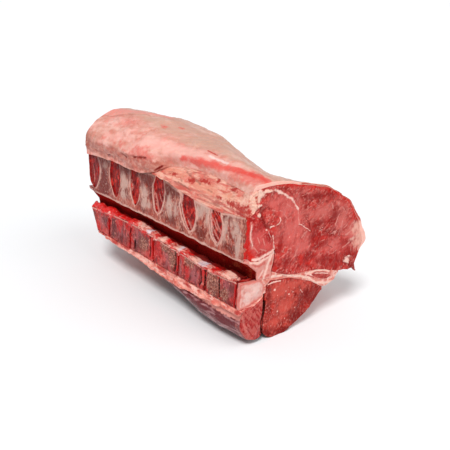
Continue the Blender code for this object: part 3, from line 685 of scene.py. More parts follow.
# Where the fascia is frayed at the cut
RAGGED = [
    (0.42, 0.2, 14.6, 0.8, 13.9, 1.0, 13.3, 1.4, 12.5, 1.9, 11.8),
    (0.28, 0.3, 14.3, 1.2, 14.6, 2.2, 14.9, 3.4, 14.8, 4.8, 14.6), (0.2, 1.0, 13.4, 2.0, 13.0)
]
points, depth = solid(fascia_sides, np.linspace(0, FASCIA_END, 260), 110, cap_rows=(30, 6),
                      rounding=(0.03, 0.008))
near, section = depth < 0, points[..., ::2]
streaks = rough(points * (1.0, 0.10, 1.0), 0.28, seed=31)
height = 0.05 * streaks + 0.05 * rough(points * (1, 0.3, 1), 1.0, seed=33)
flaps = smooth(on_lines(section, RAGGED), 0.3, 0.7) * smooth(section[..., 1], 12.3, 13.2)
flaps = 0.2 * near * (flaps * (0.6 + 0.5 * rough(section, 0.35, seed=35)))
points = np.where(near[..., None], with_cut(points, depth, flaps), swelled(points, height))
marks = {
    "cream": np.where(near, on_lines(section, RAGGED), 0.8 * on_spots(points, [
        (0.4, 0.2, 14.6, 0.8, 1.2, 0.8), (0.5, 0.8, 13.6, 0.6, 0.8, 0.8)])),
    "peach": np.where(near, 0.0, on_spots(points, [
        (0.6, 8.6, 13.3, 0.6, 2.4, 0.6), (0.9, 16.0, 13.8, 0.5, 2.6, 0.7),
        (0.4, 4.0, 13.4, 0.5, 1.2, 0.5)])),
    "blood": np.maximum.reduce([
        on_spots(points, [
            (1.35, 7.2, 14.5, 0.4, 0.5, 0.3), (0.7, 11.7, 13.6, 0.3, 0.7, 0.3),
            (0.2, 0.8, 12.5, 0.8, 1.2, 0.7), (0.3, 0.5, 13.2, 0.3, 0.5, 0.2),
            (0.5, 5.2, 12.9, 0.3, 1.0, 0.2), (1.0, 3.6, 14.3, 0.5, 0.8, 0.3),
            (0.4, 2.6, 12.8, 0.6, 1.4, 0.4), (0.9, 9.5, 14.0, 0.4, 1.2, 0.3),
            (0.6, 15.6, 13.6, 0.3, 1.2, 0.3)]),
        on_line(points, [
            (1.2, 15.0, 14.7), (1.35, 10.5, 14.8), (1.4, 6.0, 15.0), (1.5, 2.0, 15.0)],
                0.22),
        np.where(near, 0.6 * (1 - on_lines(section, RAGGED)), 0)]),
    "threads": np.where(near, 0.0, 0.12 + 0.5 * lumps(points * (1.0, 0.08, 1.0), 0.22, seed=37)
                        + 0.15 * rough(points, 1.5, seed=38)),
    "grey": on_lines(points, [
        (0.14, 1.3, 13.6, 14.2, 0.9, 11.4, 13.8, 0.7, 9.8, 13.5),
        (0.1, 0.6, 8.0, 13.2, 0.5, 5.0, 13.0), (0.1, 0.3, 14.0, 12.9, 0.2, 9.5, 12.3)]),
}
# Fascia: peach to cream fat with darker threads of fibre drawn out along the back, moist
back_fascia = tissue(
    "streaked_beef_fascia", "#d6786a",
    blotched=(("#e59f8c", (12, 60, 12), 0.50, 0.09, 0.8),
              ("#cb5448", (8, 30, 8), 0.53, 0.07, 0.7, (0, 0, 3)),
              ("#f0b8a2", (5, 36, 5), 0.54, 0.07, 0.8, (0, 0, -3)),
              ("#a8574b", (4, 16, 4), 0.60, 0.05, 0.5, (0, 0, 4)),
              ("#f3c4b2", (2.6, 14, 2.6), 0.61, 0.05, 0.5),
              ("#df6557", 9, 0.58, 0.06, 0.5)),
    marked=(("peach", "#e9a388", 8, 0.9, 0.3, 0.6),
            ("grey", "#8f5546", 5, 1.2, 0.3, 0.6),
            ("threads", "#a9584b", 2.4, 0.5, 0.14, 0.55),
            ("blood", "#ad1a14", 4, 1.3, 0.22, 0.9),
            ("cream", "#ecb9a5", 4, 1.0, 0.2, 0.95)),
    bumps=((4, 0.8), (1.6, 0.35)), roughness=0.33, wet=0.2, soft=0.1)
mesh_piece("streaked_back_fascia", [(points, marks)], back_fascia, ["back_fascia"])

# ---------------------------------------------------------------------------------------------
# Loin eye: the large muscle of the back, which runs through the whole joint. It is lean with
# bundles of fibres along it, wrapped in a pale membrane and held to its neighbours by white
# seams of gristle and fat. The knife cut it straight across its grain.
# Corners of the eye's outline: beside the chine, along the transverse layer and at the flank;
# then its middle line, and its seam with the gluteus
CHAIN = {0: ((3.2, 10.5), (4.3, 8.8), (5.02, 7.55)), 36: ((3.4, 10.4), (4.4, 8.6), (5.02, 7.55))}
BAR_TOP = {
    0: ((4.78, 4.5), (7.9, 3.6), (11.4, 3.5), (14.2, 3.05), (16.7, 2.4)),
    6: ((4.78, 4.4), (8.0, 3.8), (11.6, 3.2), (14.8, 2.2), (17.4, 0.6)),
    12: ((4.78, 4.3), (8.0, 3.9), (11.6, 2.9), (14.8, 0.9), (16.6, -2.2)),
    18: ((4.78, 4.3), (8.0, 3.9), (11.4, 2.8), (14.3, 0.4), (15.9, -3.6)),
    36: ((4.78, 4.3), (8.0, 3.9), (11.4, 2.8), (14.3, 0.4), (15.8, -3.6)),
}
FLANK_FOOT = {0: (19.6, 2.4), 6: (18.6, 1.2), 12: (17.6, -1.9), 18: (16.7, -3.7), 36: (16.5, -3.7)}
EYE_SPINE = {0: ((2.6, 13.4), (5.2, 11.2), (7.4, 7.9), (12.0, 5.9), (17.4, 4.6)),
             36: ((2.6, 13.6), (7.0, 10.8), (12.0, 7.9), (16.3, 3.0), (16.7, -2.6))}
MUSCLE_ARC = ((6.3, 14.2), (8.2, 11.9), (8.7, 10.1), (10.5, 8.9), (14.5, 7.6))
GLUTEUS = (6 * THIRD, 20 * THIRD)  # the points of the cover's inner side that lie on it


def chain_line(distance):
    """Seam between the muscle beside the feather bones and the loin eye."""
    return curve_through([roof(distance)[THIRD], *along_table(CHAIN, distance)])


def gluteus_line(distance):
    """White seam between the gluteus and the loin eye, which rises to the cover as it tapers."""
    cover = under_cover(distance)[GLUTEUS[0]:GLUTEUS[1] + 1]
    arc = curve_through([cover[0], *MUSCLE_ARC, cover[-1]])
    at = np.linspace(0, len(arc) - 1, len(cover))
    arc = np.stack([np.interp(at, range(len(arc)), arc[:, axis]) for axis in (0, 1)], axis=1)
    weight = 1 - smooth(distance, -4.0, 15.0)
    return weight * arc + (1 - weight) * cover


def bar_top(distance):
    """Top of the layer of transverse bone and fat under the loin eye."""
    return curve_through(along_table(BAR_TOP, distance))


def eye_sides(distance):
    """Upper side, under the fascia, the cover and the gluteus and down inside the flank, and
    lower side, beside the chine muscle and the backbone and on the transverse layer."""
    cover, foot = under_cover(distance), along_table(FLANK_FOOT, distance)
    upper = np.vstack((roof(distance)[THIRD:], cover[PER_SPAN:GLUTEUS[0]],
                       gluteus_line(distance), cover[GLUTEUS[1] + 1:], foot))
    return upper, np.vstack((chain_line(distance), (5.0, 6.5), (4.95, 5.5), bar_top(distance),
                             foot))


def eye_spine(distance):
    """Line down the middle of the eye, where the rows of its cut faces meet."""
    return curve_through(along_table(EYE_SPINE, distance))


# Places in the cut at the rump end. Lines: seams of white gristle between the muscles, slits
# where the bundles part, painted dark red partly as shade in the gap, thin veins of fat; in the
# far cut, its own seams. Spots: rosy and deep red bundles
WHITE_SEAMS = [
    (0.19, 4.2, 14.75, 4.9, 14.45, 5.8, 14.05),
    (0.15, 5.8, 14.05, 6.8, 13.5, 7.7, 12.6, 8.2, 12.0), (0.065, 8.6, 10.05, 9.5, 9.5, 10.6, 8.8),
    (0.09, 3.93, 10.3, 4.6, 10.35, 5.2, 10.6, 5.38, 10.95, 5.15, 11.3),
    (0.07, 4.4, 9.2, 4.65, 8.5, 4.95, 7.7, 4.9, 7.0), (0.10, 7.28, 8.5, 7.36, 8.5),
    (0.07, 12.75, 9.0, 12.85, 9.0)
]
ROSY = [
    (12.6, 11.2, 2.4, 0.9), (16.6, 9.3, 0.9, 1.3), (18.3, 7.6, 1.2, 1.0), (7.2, 9.2, 2.2, 1.6),
    (6.6, 12.4, 1.9, 1.1), (9.2, 7.0, 1.5, 1.0), (4.6, 13.4, 1.5, 0.5), (8.3, 11.0, 0.9, 0.9),
    (15.5, 6.2, 2.4, 0.8)
]
DEEP = [
    (11.4, 8.0, 0.9, 1.0), (12.0, 13.2, 2.6, 0.45), (11.9, 9.6, 1.4, 0.45),
    (14.8, 10.2, 0.5, 1.3), (17.6, 6.4, 1.2, 0.5), (13.2, 7.0, 1.3, 0.6), (10.6, 5.0, 1.2, 0.7),
    (15.8, 4.0, 1.9, 0.8), (18.6, 4.6, 1.2, 0.9), (5.5, 4.9, 0.8, 0.6), (13.3, 4.5, 1.5, 0.5),
    (6.8, 5.4, 1.1, 0.5), (5.8, 8.0, 0.35, 1.1)
]
SLIT = [
    (0.22, *CHINE_SLIT),
    (0.06, 9.6, 10.9, 10.3, 9.9, 10.9, 8.6), (0.05, 11.8, 9.0, 12.4, 7.4),
    (0.05, 10.2, 5.6, 10.9, 4.9), (0.04, 14.0, 6.6, 15.2, 6.0)
]
VEINS = [
    (0.10, 8.2, 12.0, 8.5, 11.0, 8.6, 10.0), (0.09, 3.9, 12.35, 4.7, 12.2, 5.4, 12.15),
    (0.09, 5.6, 6.05, 6.3, 6.3, 7.0, 6.65), (0.08, 7.5, 5.2, 8.3, 6.0, 8.6, 7.0),
    (0.09, 5.0, 3.9, 5.6, 4.6, 6.4, 4.9), (0.08, 12.3, 8.6, 12.8, 8.7),
    (0.09, 12.8, 7.2, 13.3, 7.3), (0.08, 9.2, 9.9, 9.4, 9.9), (0.08, 11.8, 6.6, 12.2, 6.8),
    (0.10, 14.4, 7.9, 15.6, 8.2), (0.12, 15.9, 7.7, 16.4, 8.8, 16.9, 10.0),
    (0.10, 16.9, 8.3, 17.9, 8.9), (0.09, 15.2, 9.0, 15.9, 10.4), (0.12, 17.5, 7.2, 18.7, 7.9),
    (0.07, 10.6, 12.6, 11.8, 11.9), (0.08, 9.2, 8.2, 10.0, 8.9), (0.08, 16.2, 11.2, 17.2, 10.2),
    (0.10, 17.2, 5.6, 18.4, 6.2), (0.07, 13.9, 12.2, 14.6, 11.2), (0.06, 6.2, 13.0, 7.2, 12.2),
    (0.07, 6.0, 11.6, 6.6, 10.8), (0.07, 10.2, 6.4, 11.0, 7.2), (0.07, 14.6, 5.0, 16.0, 5.4)
]
FAR_SEAMS = [
    (0.10, 5.6, 17.2, 6.9, 15.2, 7.2, 12.8, 6.3, 10.6, 5.2, 9.0),
    (0.09, 8.2, 6.6, 10.8, 7.6, 13.4, 7.0, 15.2, 4.6, 16.2, 1.0),
    (0.06, 9.6, 12.4, 11.0, 11.2, 12.9, 10.9), (0.05, 10.4, 14.6, 11.2, 13.6),
    (0.05, 7.6, 9.2, 9.0, 9.0), (0.05, 13.8, 12.6, 14.6, 11.4)
]
# Pinkish fat that grades into the muscle at the flank
EDGE_FAT = [
    (20.3, 7.2, 0.9, 1.5), (20.1, 5.9, 0.9, 0.8), (19.2, 8.2, 0.7, 0.7), (20.6, 5.2, 0.6, 0.6),
    (19.0, 6.6, 0.6, 0.25)
]
# Torn cream fat that folds over the muscles at the corner
FLAP = [
    (1.75, 14.5, 0.75, 0.55), (1.7, 13.95, 0.42, 0.5), (2.0, 13.1, 0.34, 0.2),
    (1.2, 12.9, 0.5, 0.3), (2.1, 11.95, 0.3, 0.22), (2.9, 14.75, 0.9, 0.18)
]


def muscle_marks(points, depth):
    """Marks of cut muscle at the rump end, and the pale membrane round the sides and far end."""
    near = depth < 0
    section = wandering(points[..., ::2], 0.9, 0.09, seed=45)
    lines = wandering(points[..., ::2], 0.35, 0.06, seed=47)
    patchy = 0.16 + 0.2 * rough(section, 0.8, seed=49)
    broad = 0.32 + 0.3 * rough(points, 2.2, seed=46)
    return {
        "white": np.where(near, on_lines(lines, WHITE_SEAMS) - patchy,
                          on_lines(lines, FAR_SEAMS) - patchy),
        "veins": np.where(near, on_lines(lines, VEINS) - patchy, 0.0),
        "edge_fat": np.where(near, on_spots(section, EDGE_FAT), 0.0),
        "rosy": np.where(near, on_spots(section, ROSY), broad),
        "deep": np.where(near, on_spots(section, DEEP), 0.6 - broad),
        "slit": np.where(near, on_lines(lines, SLIT), 0.0),
        "flap": np.where(near, on_spots(lines, FLAP), 0.0),
        "membrane": np.where(near, 0.0,
                             np.where(depth > 0, np.clip(1 - depth / 0.16, 0, 1), 0.62)),
    }


def cut_muscle(name, lean, deep, light, grain_turn, grain=1.5, roughness=0.33):
    """Raw lean whose streaks are grain times as long as wide, with membranes and flecks of fat."""
    return tissue(
        name, lean,
        blotched=((light, 30, 0.50, 0.16, 0.8),
                  (deep, 20, 0.52, 0.13, 0.85),
                  (light, (9, 12, 9 * grain), 0.54, 0.13, 0.6, grain_turn),
                  ("#c2180f", (14, 20, 14 * grain), 0.56, 0.12, 0.6, grain_turn),
                  (deep, (5, 8, 5 * grain), 0.54, 0.10, 0.7, grain_turn),
                  ("#740d0a", (3.5, 6, 3.5 * grain), 0.59, 0.07, 0.6, grain_turn),
                  ("#dd9084", (2.6, 4, 2.6 * grain), 0.60, 0.08, 0.55, grain_turn)),
        marked=(("rosy", light, 8, 1.1, 0.42, 0.85),
                ("deep", deep, 5, 1.4, 0.42, 0.75),
                ("bright", "#c91a0e", 5, 1.1, 0.38, 0.8),
                ("membrane", "#dba59c", 7, 0.6, 0.2, 0.75),
                # Slits: dark red, partly the lean's colour and partly painted shade
                ("slit", "#7d0f0c", 3, 0.8, 0.4, 0.85),
                # Painted shade in cracks: near black and without shine
                ("gap", "#2a0303", 3, 0.4, 0.2, 0.97),
                ("veins", "#db968b", 3, 1.2, 0.34, 0.55),
                ("edge_fat", "#e3a898", (3, 3, 7), 1.4, 0.42, 0.85),
                ("white", "#efc3b6", 3, 1.1, 0.34, 0.92),
                ("flap", "#ecbfae", 3, 0.9, 0.2, 0.95)),
        bumps=((6, 1.1), (2.2, 0.35)), roughness=roughness, wet=0.1, shine=0.1, dull="gap")


points, depth = solid(eye_sides, np.linspace(0, LENGTH, 18), 380, eye_spine,
                      cap_rows=(78, 20), rounding=(0.008, 0.008), rest=True)
# Lean of the eye: bright red with broad rosy bundles, cut clean, so moist with a dull gloss
eye_lean = cut_muscle("cut_beef_loin_eye", "#bb231b", "#8e0d0a", "#ce615a", (0, 35, 0))
marks = muscle_marks(points, depth)
marks["bright"] = np.where(depth < 0, on_spots(points[..., ::2], [
    (9.5, 5.4, 0.7, 0.7), (11.0, 4.6, 0.9, 0.4), (5.6, 6.4, 0.3, 1.0), (5.3, 5.0, 0.5, 0.5),
    (4.6, 9.6, 0.35, 0.7), (2.5, 11.9, 0.4, 0.8), (13.0, 7.6, 1.1, 0.3)]) * 0.62, 0)
raised = 0.12 * smooth(marks["flap"], 0.35, 0.7) + 0.03 * smooth(marks["white"], 0.3, 0.8)
mesh_piece("loin_eye_muscle", [(with_cut(points, depth, raised), marks)], eye_lean,
           ["loin_eye"])

# ---------------------------------------------------------------------------------------------
# Gluteus: the front end of the rump's muscle, a wedge of lean that lies on the eye under the
# cover and tapers out inside the joint. A white seam of fascia parts it from the eye, and its
# coarse grain runs towards the flank.
GLUTEUS_END = 13.0
GLUTEUS_COUNT = 210  # points along each side of its section


def gluteus_sides(distance):
    """Upper side, under the cover, and lower side, a seam's width off the eye."""
    return under_cover(distance)[GLUTEUS[0]:GLUTEUS[1] + 1], gluteus_line(distance) - SEAM


points, depth = solid(gluteus_sides, np.linspace(0, GLUTEUS_END, 14), GLUTEUS_COUNT,
                      cap_rows=(50, 4), rounding=(0.008, 0.008))
# Lean of the rump: a shade darker and coarser than the eye
rump_lean = cut_muscle("cut_beef_gluteus", "#ae231b", "#820a07", "#c9625a", (0, 65, 0), 1.8)
marks = muscle_marks(points, depth)
skin_side = np.arange(points.shape[1]) < GLUTEUS_COUNT
marks["bright"] = np.where((depth < 0) & skin_side, 0.7 * np.clip(1 + depth / 0.9, 0, 1), 0)
mesh_piece("gluteus_muscle", [(with_cut(points, depth, 0.012), marks)], rump_lean,
           ["gluteus"])

# ---------------------------------------------------------------------------------------------
# Multifidus: the short muscles that fill the corner between the feather bones, the arches and
# the eye. It is finer lean, held to the bone by its tendons and outlined by a white seam,
# and the knife crossed it with the rest.
def multifidus_sides(distance):
    """Upper side, under the fascia and beside the loin eye, and lower side, beside the feather
    bones and on the arch."""
    top, corner = roof(distance)[:THIRD], (4.9, 7.4)
    return (np.vstack((top, chain_line(distance), corner)),
            np.vstack((top[0], (0.66, 6.85), (1.2, 6.4), (2.4, 6.3), (4.0, 6.7), corner)))


points, depth = solid(multifidus_sides, np.linspace(0, LENGTH, 24), 170, cap_rows=(48, 18),
                      rounding=(0.008, 0.008))
marks = muscle_marks(points, depth)
near, section = depth < 0, points[..., ::2]
marks["white"] = np.where(near, on_lines(section, [
    (0.07, 0.95, 10.9, 0.85, 10.0, 1.0, 9.2, 1.4, 8.4), (0.14, 3.3, 10.1, 3.35, 10.05),
    (0.07, 3.6, 9.9, 4.2, 9.0, 4.6, 8.5, 4.9, 7.6),
    (0.2, 4.8, 7.35, 3.9, 6.95, 2.6, 6.6, 1.5, 6.65)]) - 0.1, 0.0)
marks["veins"] = np.where(near, on_lines(section, [
    (0.22, 0.95, 11.1, 0.85, 10.0, 1.0, 9.2, 1.4, 8.2), (0.09, 2.0, 9.3, 2.4, 8.5),
    (0.09, 2.9, 9.0, 3.3, 8.2), (0.08, 1.6, 8.2, 2.2, 7.5), (0.1, 2.6, 7.8, 3.6, 7.4)]) - 0.1, 0.0)
marks["rosy"] = np.where(near, on_spots(section, [(2.2, 8.9, 1.0, 1.6), (3.4, 8.0, 0.9, 0.8)]),
                         0.3)
marks["deep"] = np.where(near, on_spots(section, [(2.3, 10.6, 0.8, 0.6), (3.9, 9.0, 0.3, 0.6)]),
                         0.3)
marks["bright"] = np.where(near, on_lines(section, [
    (0.28, 0.5, 11.2, 0.5, 9.5, 0.6, 8.2, 1.0, 7.3, 1.7, 6.7)]), 0.0)
# Lean beside the bone: fine-grained and a little pinker than the eye
chine_lean = cut_muscle("cut_beef_multifidus", "#bc2224", "#960a0d", "#ca524d", (0, 60, 0), 1.6)
mesh_piece("multifidus_muscle", [(with_cut(points, depth), marks)], chine_lean,
           ["multifidus"])

# ---------------------------------------------------------------------------------------------
# Transverse layer: the flat side processes of the vertebrae with the fat and gristle around
# them, which bed the eye above and the tenderloin below. It is seen end on as a white bar, sawn
# and cut through, that forks into two tails at the flank.
# Heights of the canal's floor, and corners of the layer's underside
BODY_TOP = {0: 3.8, 7: 3.45, 13: 3.8, 19: 4.15, 25: 4.35, 31: 4.15, 36: 3.8}
BAR_BOTTOM = {
    0: ((4.6, 3.5), (8.0, 3.1), (11.6, 2.0), (14.0, 0.95), (15.9, 1.3)),
    6: ((4.55, 3.1), (8.0, 3.05), (11.6, 1.9), (14.2, 0.5), (16.2, -0.9)),
    12: ((4.55, 3.1), (8.0, 3.0), (11.3, 1.6), (13.7, -0.6), (15.2, -3.0)),
    18: ((4.55, 3.2), (8.0, 2.9), (10.9, 1.4), (13.2, -1.0), (14.5, -3.8)),
    36: ((4.55, 3.2), (8.0, 2.9), (10.9, 1.4), (13.2, -1.0), (14.5, -3.8)),
}


def body_top(distance):
    """Height of the backbone's floor of the canal."""
    return height_along(BODY_TOP, distance)


def bar_bottom(distance):
    """Underside of the layer of transverse bone and fat."""
    return curve_through(along_table(BAR_BOTTOM, distance))


def bar_sides(distance):
    """Upper side, up beside the backbone, over it and out under the eye, and lower side, over
    the tenderloin; they meet at the tip, midway between the ends of the two."""
    top, over, under = body_top(distance), bar_top(distance), bar_bottom(distance)
    tip, foot = (over[-1] + under[-1]) / 2, (3.64, 1.85)
    beside = (foot, (3.64, top - 0.72), (3.02, top - 0.02), (4.68, top - 0.02))
    return (np.vstack((*beside, over, tip)),
            np.vstack((foot, (4.0, 1.85), (4.05, 2.9), under, tip)))


points, depth = solid(bar_sides, np.linspace(0, LENGTH, 60), 190, cap_rows=(18, 8),
                      rounding=(0.01, 0.01), rest=True)
near, section = depth < 0, points[..., ::2]
marks = {
    "core": np.where(near, on_lines(wandering(section, 0.8, 0.06, seed=55), [
        (0.14, 4.7, 3.95, 6.6, 3.75, 8.2, 3.4, 9.8, 3.0, 11.0, 2.6),
        (0.16, 11.0, 2.6, 12.4, 1.75, 13.8, 1.5, 15.4, 1.2),
        (0.1, 10.6, 3.2, 12.2, 3.25, 13.6, 3.1, 15.0, 2.75)]), 0.2),
    "pink": np.where(near, on_lines(section, [
        (0.16, 4.4, 3.6, 6.0, 3.5, 8.0, 3.25, 9.5, 2.9),
        (0.12, 12.0, 3.15, 13.6, 2.95, 15.2, 2.6), (0.2, 11.8, 2.1, 13.8, 1.3),
        (0.14, 15.0, 1.4, 16.2, 1.6)]), 0.45),
    "blood": np.where(near, on_lines(section, [
        (0.06, 6.5, 3.7, 7.4, 3.5), (0.08, 11.0, 2.9, 12.2, 2.4)]), 0.3),
}
# Seam fat: cream and firm, pink where the saw drew blood over it, with a soft sheen
seam_fat = tissue(
    "pale_beef_seam_fat", "#cf7b6f",
    blotched=(("#edbcae", 11, 0.50, 0.10, 0.8), ("#cf6a5b", 8, 0.54, 0.09, 0.7),
              ("#b4453a", 4.5, 0.60, 0.07, 0.5), ("#f6d8cc", 4, 0.59, 0.07, 0.5)),
    marked=(("pink", "#d27163", 5, 0.9, 0.3, 0.75), ("core", "#ecc4b4", 5, 0.9, 0.3, 0.85),
            ("blood", "#a8201a", 4, 0.9, 0.25, 0.85)),
    bumps=((3, 0.7), (1.2, 0.3)), roughness=0.35)
mesh_piece("transverse_bone_and_fat", [(with_cut(points, depth), marks)], seam_fat,
           ["transverse_layer"])

# ---------------------------------------------------------------------------------------------
# Flank strip: the end of a thin flank muscle that runs into the transverse layer's tail. It is
# the rump's kind of lean, a lens in section, set in the fat and cut with it.
# A row is the middle's across and up, half its length, half its thickness and its slope
STRIP = {0: (13.5, 2.5, 1.9, 0.42, -14.0), 7: (13.6, 1.75, 1.3, 0.3, -24.0)}
STRIP_LENGTH = 7.0
STRIP_PROUD = 0.06


def strip_sides(distance):
    """The two halves of a lens, whose thickness goes as sine to the power of 1.4, turned."""
    across, up, half_length, half_thickness, slope = along_table(STRIP, distance)
    turn, angle = math.radians(slope), np.linspace(math.pi, 0, 40)
    run, off = half_length * np.cos(angle), half_thickness * np.sin(angle) ** 1.4
    return [np.stack((across + run * math.cos(turn) - side * off * math.sin(turn),
                      up + run * math.sin(turn) + side * off * math.cos(turn)), axis=1)
            for side in (1, -1)]


points, depth = solid(strip_sides, np.linspace(-STRIP_PROUD, STRIP_LENGTH, 12), 80,
                      cap_rows=(14, 4), rounding=(0.03, 0.03))
marks = muscle_marks(points, depth)
marks["white"] = np.where(depth < 0, on_lines(points[..., ::2], [
    (0.05, 12.2, 2.95, 13.4, 2.8, 14.6, 2.5)]), 0.0)
marks["rosy"], marks["deep"] = 0.5, 0.5
marks["veins"] = 0.3 * (depth > -0.1)
mesh_piece("flank_strip_muscle", [(with_cut(points, depth), marks)], rump_lean,
           ["flank_strip"])

# ---------------------------------------------------------------------------------------------
# Hanging tag: a shred of the flank's lean with a bit of its fat, torn and not cut, which hangs
# off the edge of the cut by its thick end.
# A row is the shred's middle line and its thickness, as (across, up, thickness)
TAG = {0: ((17.3, 3.9, 0.4), (18.1, 3.9, 0.62), (18.8, 3.55, 0.55), (19.35, 3.0, 0.4),
           (19.75, 2.4, 0.2), (20.0, 1.9, 0.04)),
       1: ((17.4, 4.0, 0.3), (18.1, 4.1, 0.45), (18.7, 3.8, 0.3), (19.0, 3.4, 0.2),
           (19.2, 3.1, 0.1), (19.3, 2.9, 0.03))}


def tag_sides(distance):
    """Upper and lower side of the shred: its middle line moved by half its thickness."""
    line = curve_through(along_table(TAG, distance))
    off = line[:, 2:] * np.array((0.5, 0.85))
    return line[:, :2] + off, line[:, :2] - off


points, depth = solid(tag_sides, np.linspace(-0.12, 0.75, 8), 60, cap_rows=(12, 5),
                      rounding=(0.12, 0.12))
marks = muscle_marks(points, depth)
marks["white"] = 1.1 * on_spots(points[..., ::2], [
    (17.95, 3.65, 0.42, 0.5), (18.3, 4.2, 0.3, 0.12)])
marks["deep"] = 0.6
marks["membrane"] = 0.0
mesh_piece("hanging_meat_tag", [(swelled(points, 0.05 * rough(points, 0.4, seed=57)), marks)],
           rump_lean, [])

# ---------------------------------------------------------------------------------------------
# Tenderloin: the fine-grained muscle that lies under the transverse layer and beside the
# backbone, in its own smooth membrane. It is round at the rump end, tapers to nothing towards
# the ribs, and bears on the floor.
TENDERLOIN = {
    0: ((14.0, 0.45), (11.7, -1.95), (9.3, -3.45), (7.4, -4.4), (6.0, -4.5), (4.65, -3.95),
        (3.98, -2.6), (3.98, -0.3), (4.05, 2.5)),
    12: ((12.6, 0.2), (11.4, -1.9), (9.4, -3.6), (7.6, -4.4), (5.6, -4.5), (4.4, -3.6),
         (4.05, -2.2), (4.1, -0.3), (4.15, 2.4)),
    22: ((10.9, 0.6), (10.2, -1.4), (8.9, -3.2), (7.4, -4.4), (5.7, -4.5), (4.5, -3.5),
         (4.15, -2.0), (4.15, -0.2), (4.15, 2.3)),
    28: ((8.8, 1.6), (8.4, -0.2), (7.8, -1.4), (6.9, -2.1), (5.8, -2.2), (4.9, -1.6),
         (4.5, -0.6), (4.4, 0.8), (4.5, 2.3)),
    31.5: ((7.2, 2.3), (7.1, 1.6), (6.8, 1.1), (6.3, 0.8), (5.8, 0.8), (5.4, 1.0),
           (5.2, 1.5), (5.1, 2.0), (5.2, 2.6)),
}
TENDERLOIN_END = 31.5


def tenderloin_sides(distance):
    """Upper side, against the transverse layer, and lower side, down from the backbone and out
    to the muscle's thin edge."""
    lower, ceiling = curve_through(along_table(TENDERLOIN, distance))[::-1], bar_bottom(distance)
    across = np.linspace(lower[0][0] + 0.6, lower[-1][0] - 0.1, 40)
    heights = np.interp(across, ceiling[:, 0], ceiling[:, 1]) - SEAM
    return np.vstack((lower[0], np.stack((across, heights), axis=1), lower[-1])), lower


points, depth = solid(tenderloin_sides, np.linspace(0, TENDERLOIN_END, 60), 190,
                      cap_rows=(60, 6), rounding=(0.01, 0.08), rest=True)
marks = muscle_marks(points, depth)
near, section = depth < 0, points[..., ::2]
marks["white"] = np.where(near, on_lines(section, [
    (0.11, 5.45, 2.0, 5.55, 1.98), (0.07, 7.4, 1.4, 7.45, 1.4), (0.08, 8.05, 0.86, 8.1, 0.84),
    (0.07, 8.7, 1.1, 8.74, 1.1), (0.05, 9.3, -1.15, 9.34, -1.15), (0.07, 6.4, -1.1, 6.45, -1.1),
    (0.05, 7.76, -2.35, 7.8, -2.33), (0.03, 10.0, 1.2, 10.5, 0.6), (0.05, 6.1, 1.1, 6.14, 1.1),
    (0.05, 5.5, -2.9, 5.54, -2.9), (0.045, 6.9, -3.1, 6.94, -3.1), (0.04, 8.9, 1.6, 8.95, 1.6),
    (0.08, 4.35, 3.0, 5.2, 3.15, 6.4, 3.1)]), 0.0)
marks["rosy"] = np.where(near, on_spots(section, [
    (6.4, 1.6, 1.5, 1.1), (7.6, -0.6, 1.7, 1.2), (8.5, 2.1, 2.2, 0.5),
    (6.0, -2.6, 0.9, 0.8)]), 0.3)
# Painted shade: near black along the crack beside the psoas, and over the tenderloin's inner side
# in the hollow by the backbone
marks["gap"] = np.where(near, on_line(section, [(4.05, 0.9), (4.0, -1.5), (4.1, -3.0)], 0.06),
                        smooth(5.4 - section[..., 0], 0, 0.5)
                        * smooth(3.0 - section[..., 1], 0, 0.5))
marks["deep"] = np.where(near, on_spots(section, [
    (11.8, -0.2, 1.8, 1.3), (9.8, -2.2, 1.6, 1.2), (4.7, 1.2, 0.4, 1.3), (4.9, -3.6, 0.9, 0.7),
    (7.4, -4.0, 1.5, 0.5)]), 0.45)
# Lean of the tenderloin: deep red and fine-grained, with a few white dots of fat
fillet_lean = cut_muscle("cut_beef_tenderloin", "#a61a11", "#700806", "#c64e42", (0, 20, 0), 1.2)
mesh_piece("tenderloin_muscle", [(with_cut(points, depth), marks)], fillet_lean,
           ["tenderloin"])

# ---------------------------------------------------------------------------------------------
# Chine fat: the soft band of fat and ligament along the underside of the backbone. It grows on
# the bone, and the saw that halved the backbone went through it too.
CHINE_BOTTOM = {0: ((0.0, -0.1), (1.8, 0.3), (3.6, 1.35)),
                6: ((0.0, -0.6), (1.8, 0.05), (3.5, 1.1)),
                15: ((0.0, -1.1), (1.8, -0.4), (3.4, 0.8)),
                24: ((0.0, -0.3), (1.8, 0.0), (3.4, 0.8)),
                36: ((0.0, 0.1), (1.8, 0.25), (3.4, 0.85))}
BONE_BOTTOM = 0.45  # height of the underside of the sawn bodies


def chine_bottom(distance):
    """Underside of the fat band below the backbone."""
    return curve_through(along_table(CHINE_BOTTOM, distance))


def chine_sides(distance):
    """Upper side, against the bone, and lower side, both from the middle of the sawn edge."""
    bottom = chine_bottom(distance)
    middle = (0.0, (BONE_BOTTOM + bottom[0][1]) / 2)
    upper = (middle, (0.0, BONE_BOTTOM - 0.02), (1.6, 0.67), (2.7, 1.04), (3.68, 1.7))
    return np.array(upper), np.vstack((middle, bottom, (3.68, 1.7)))


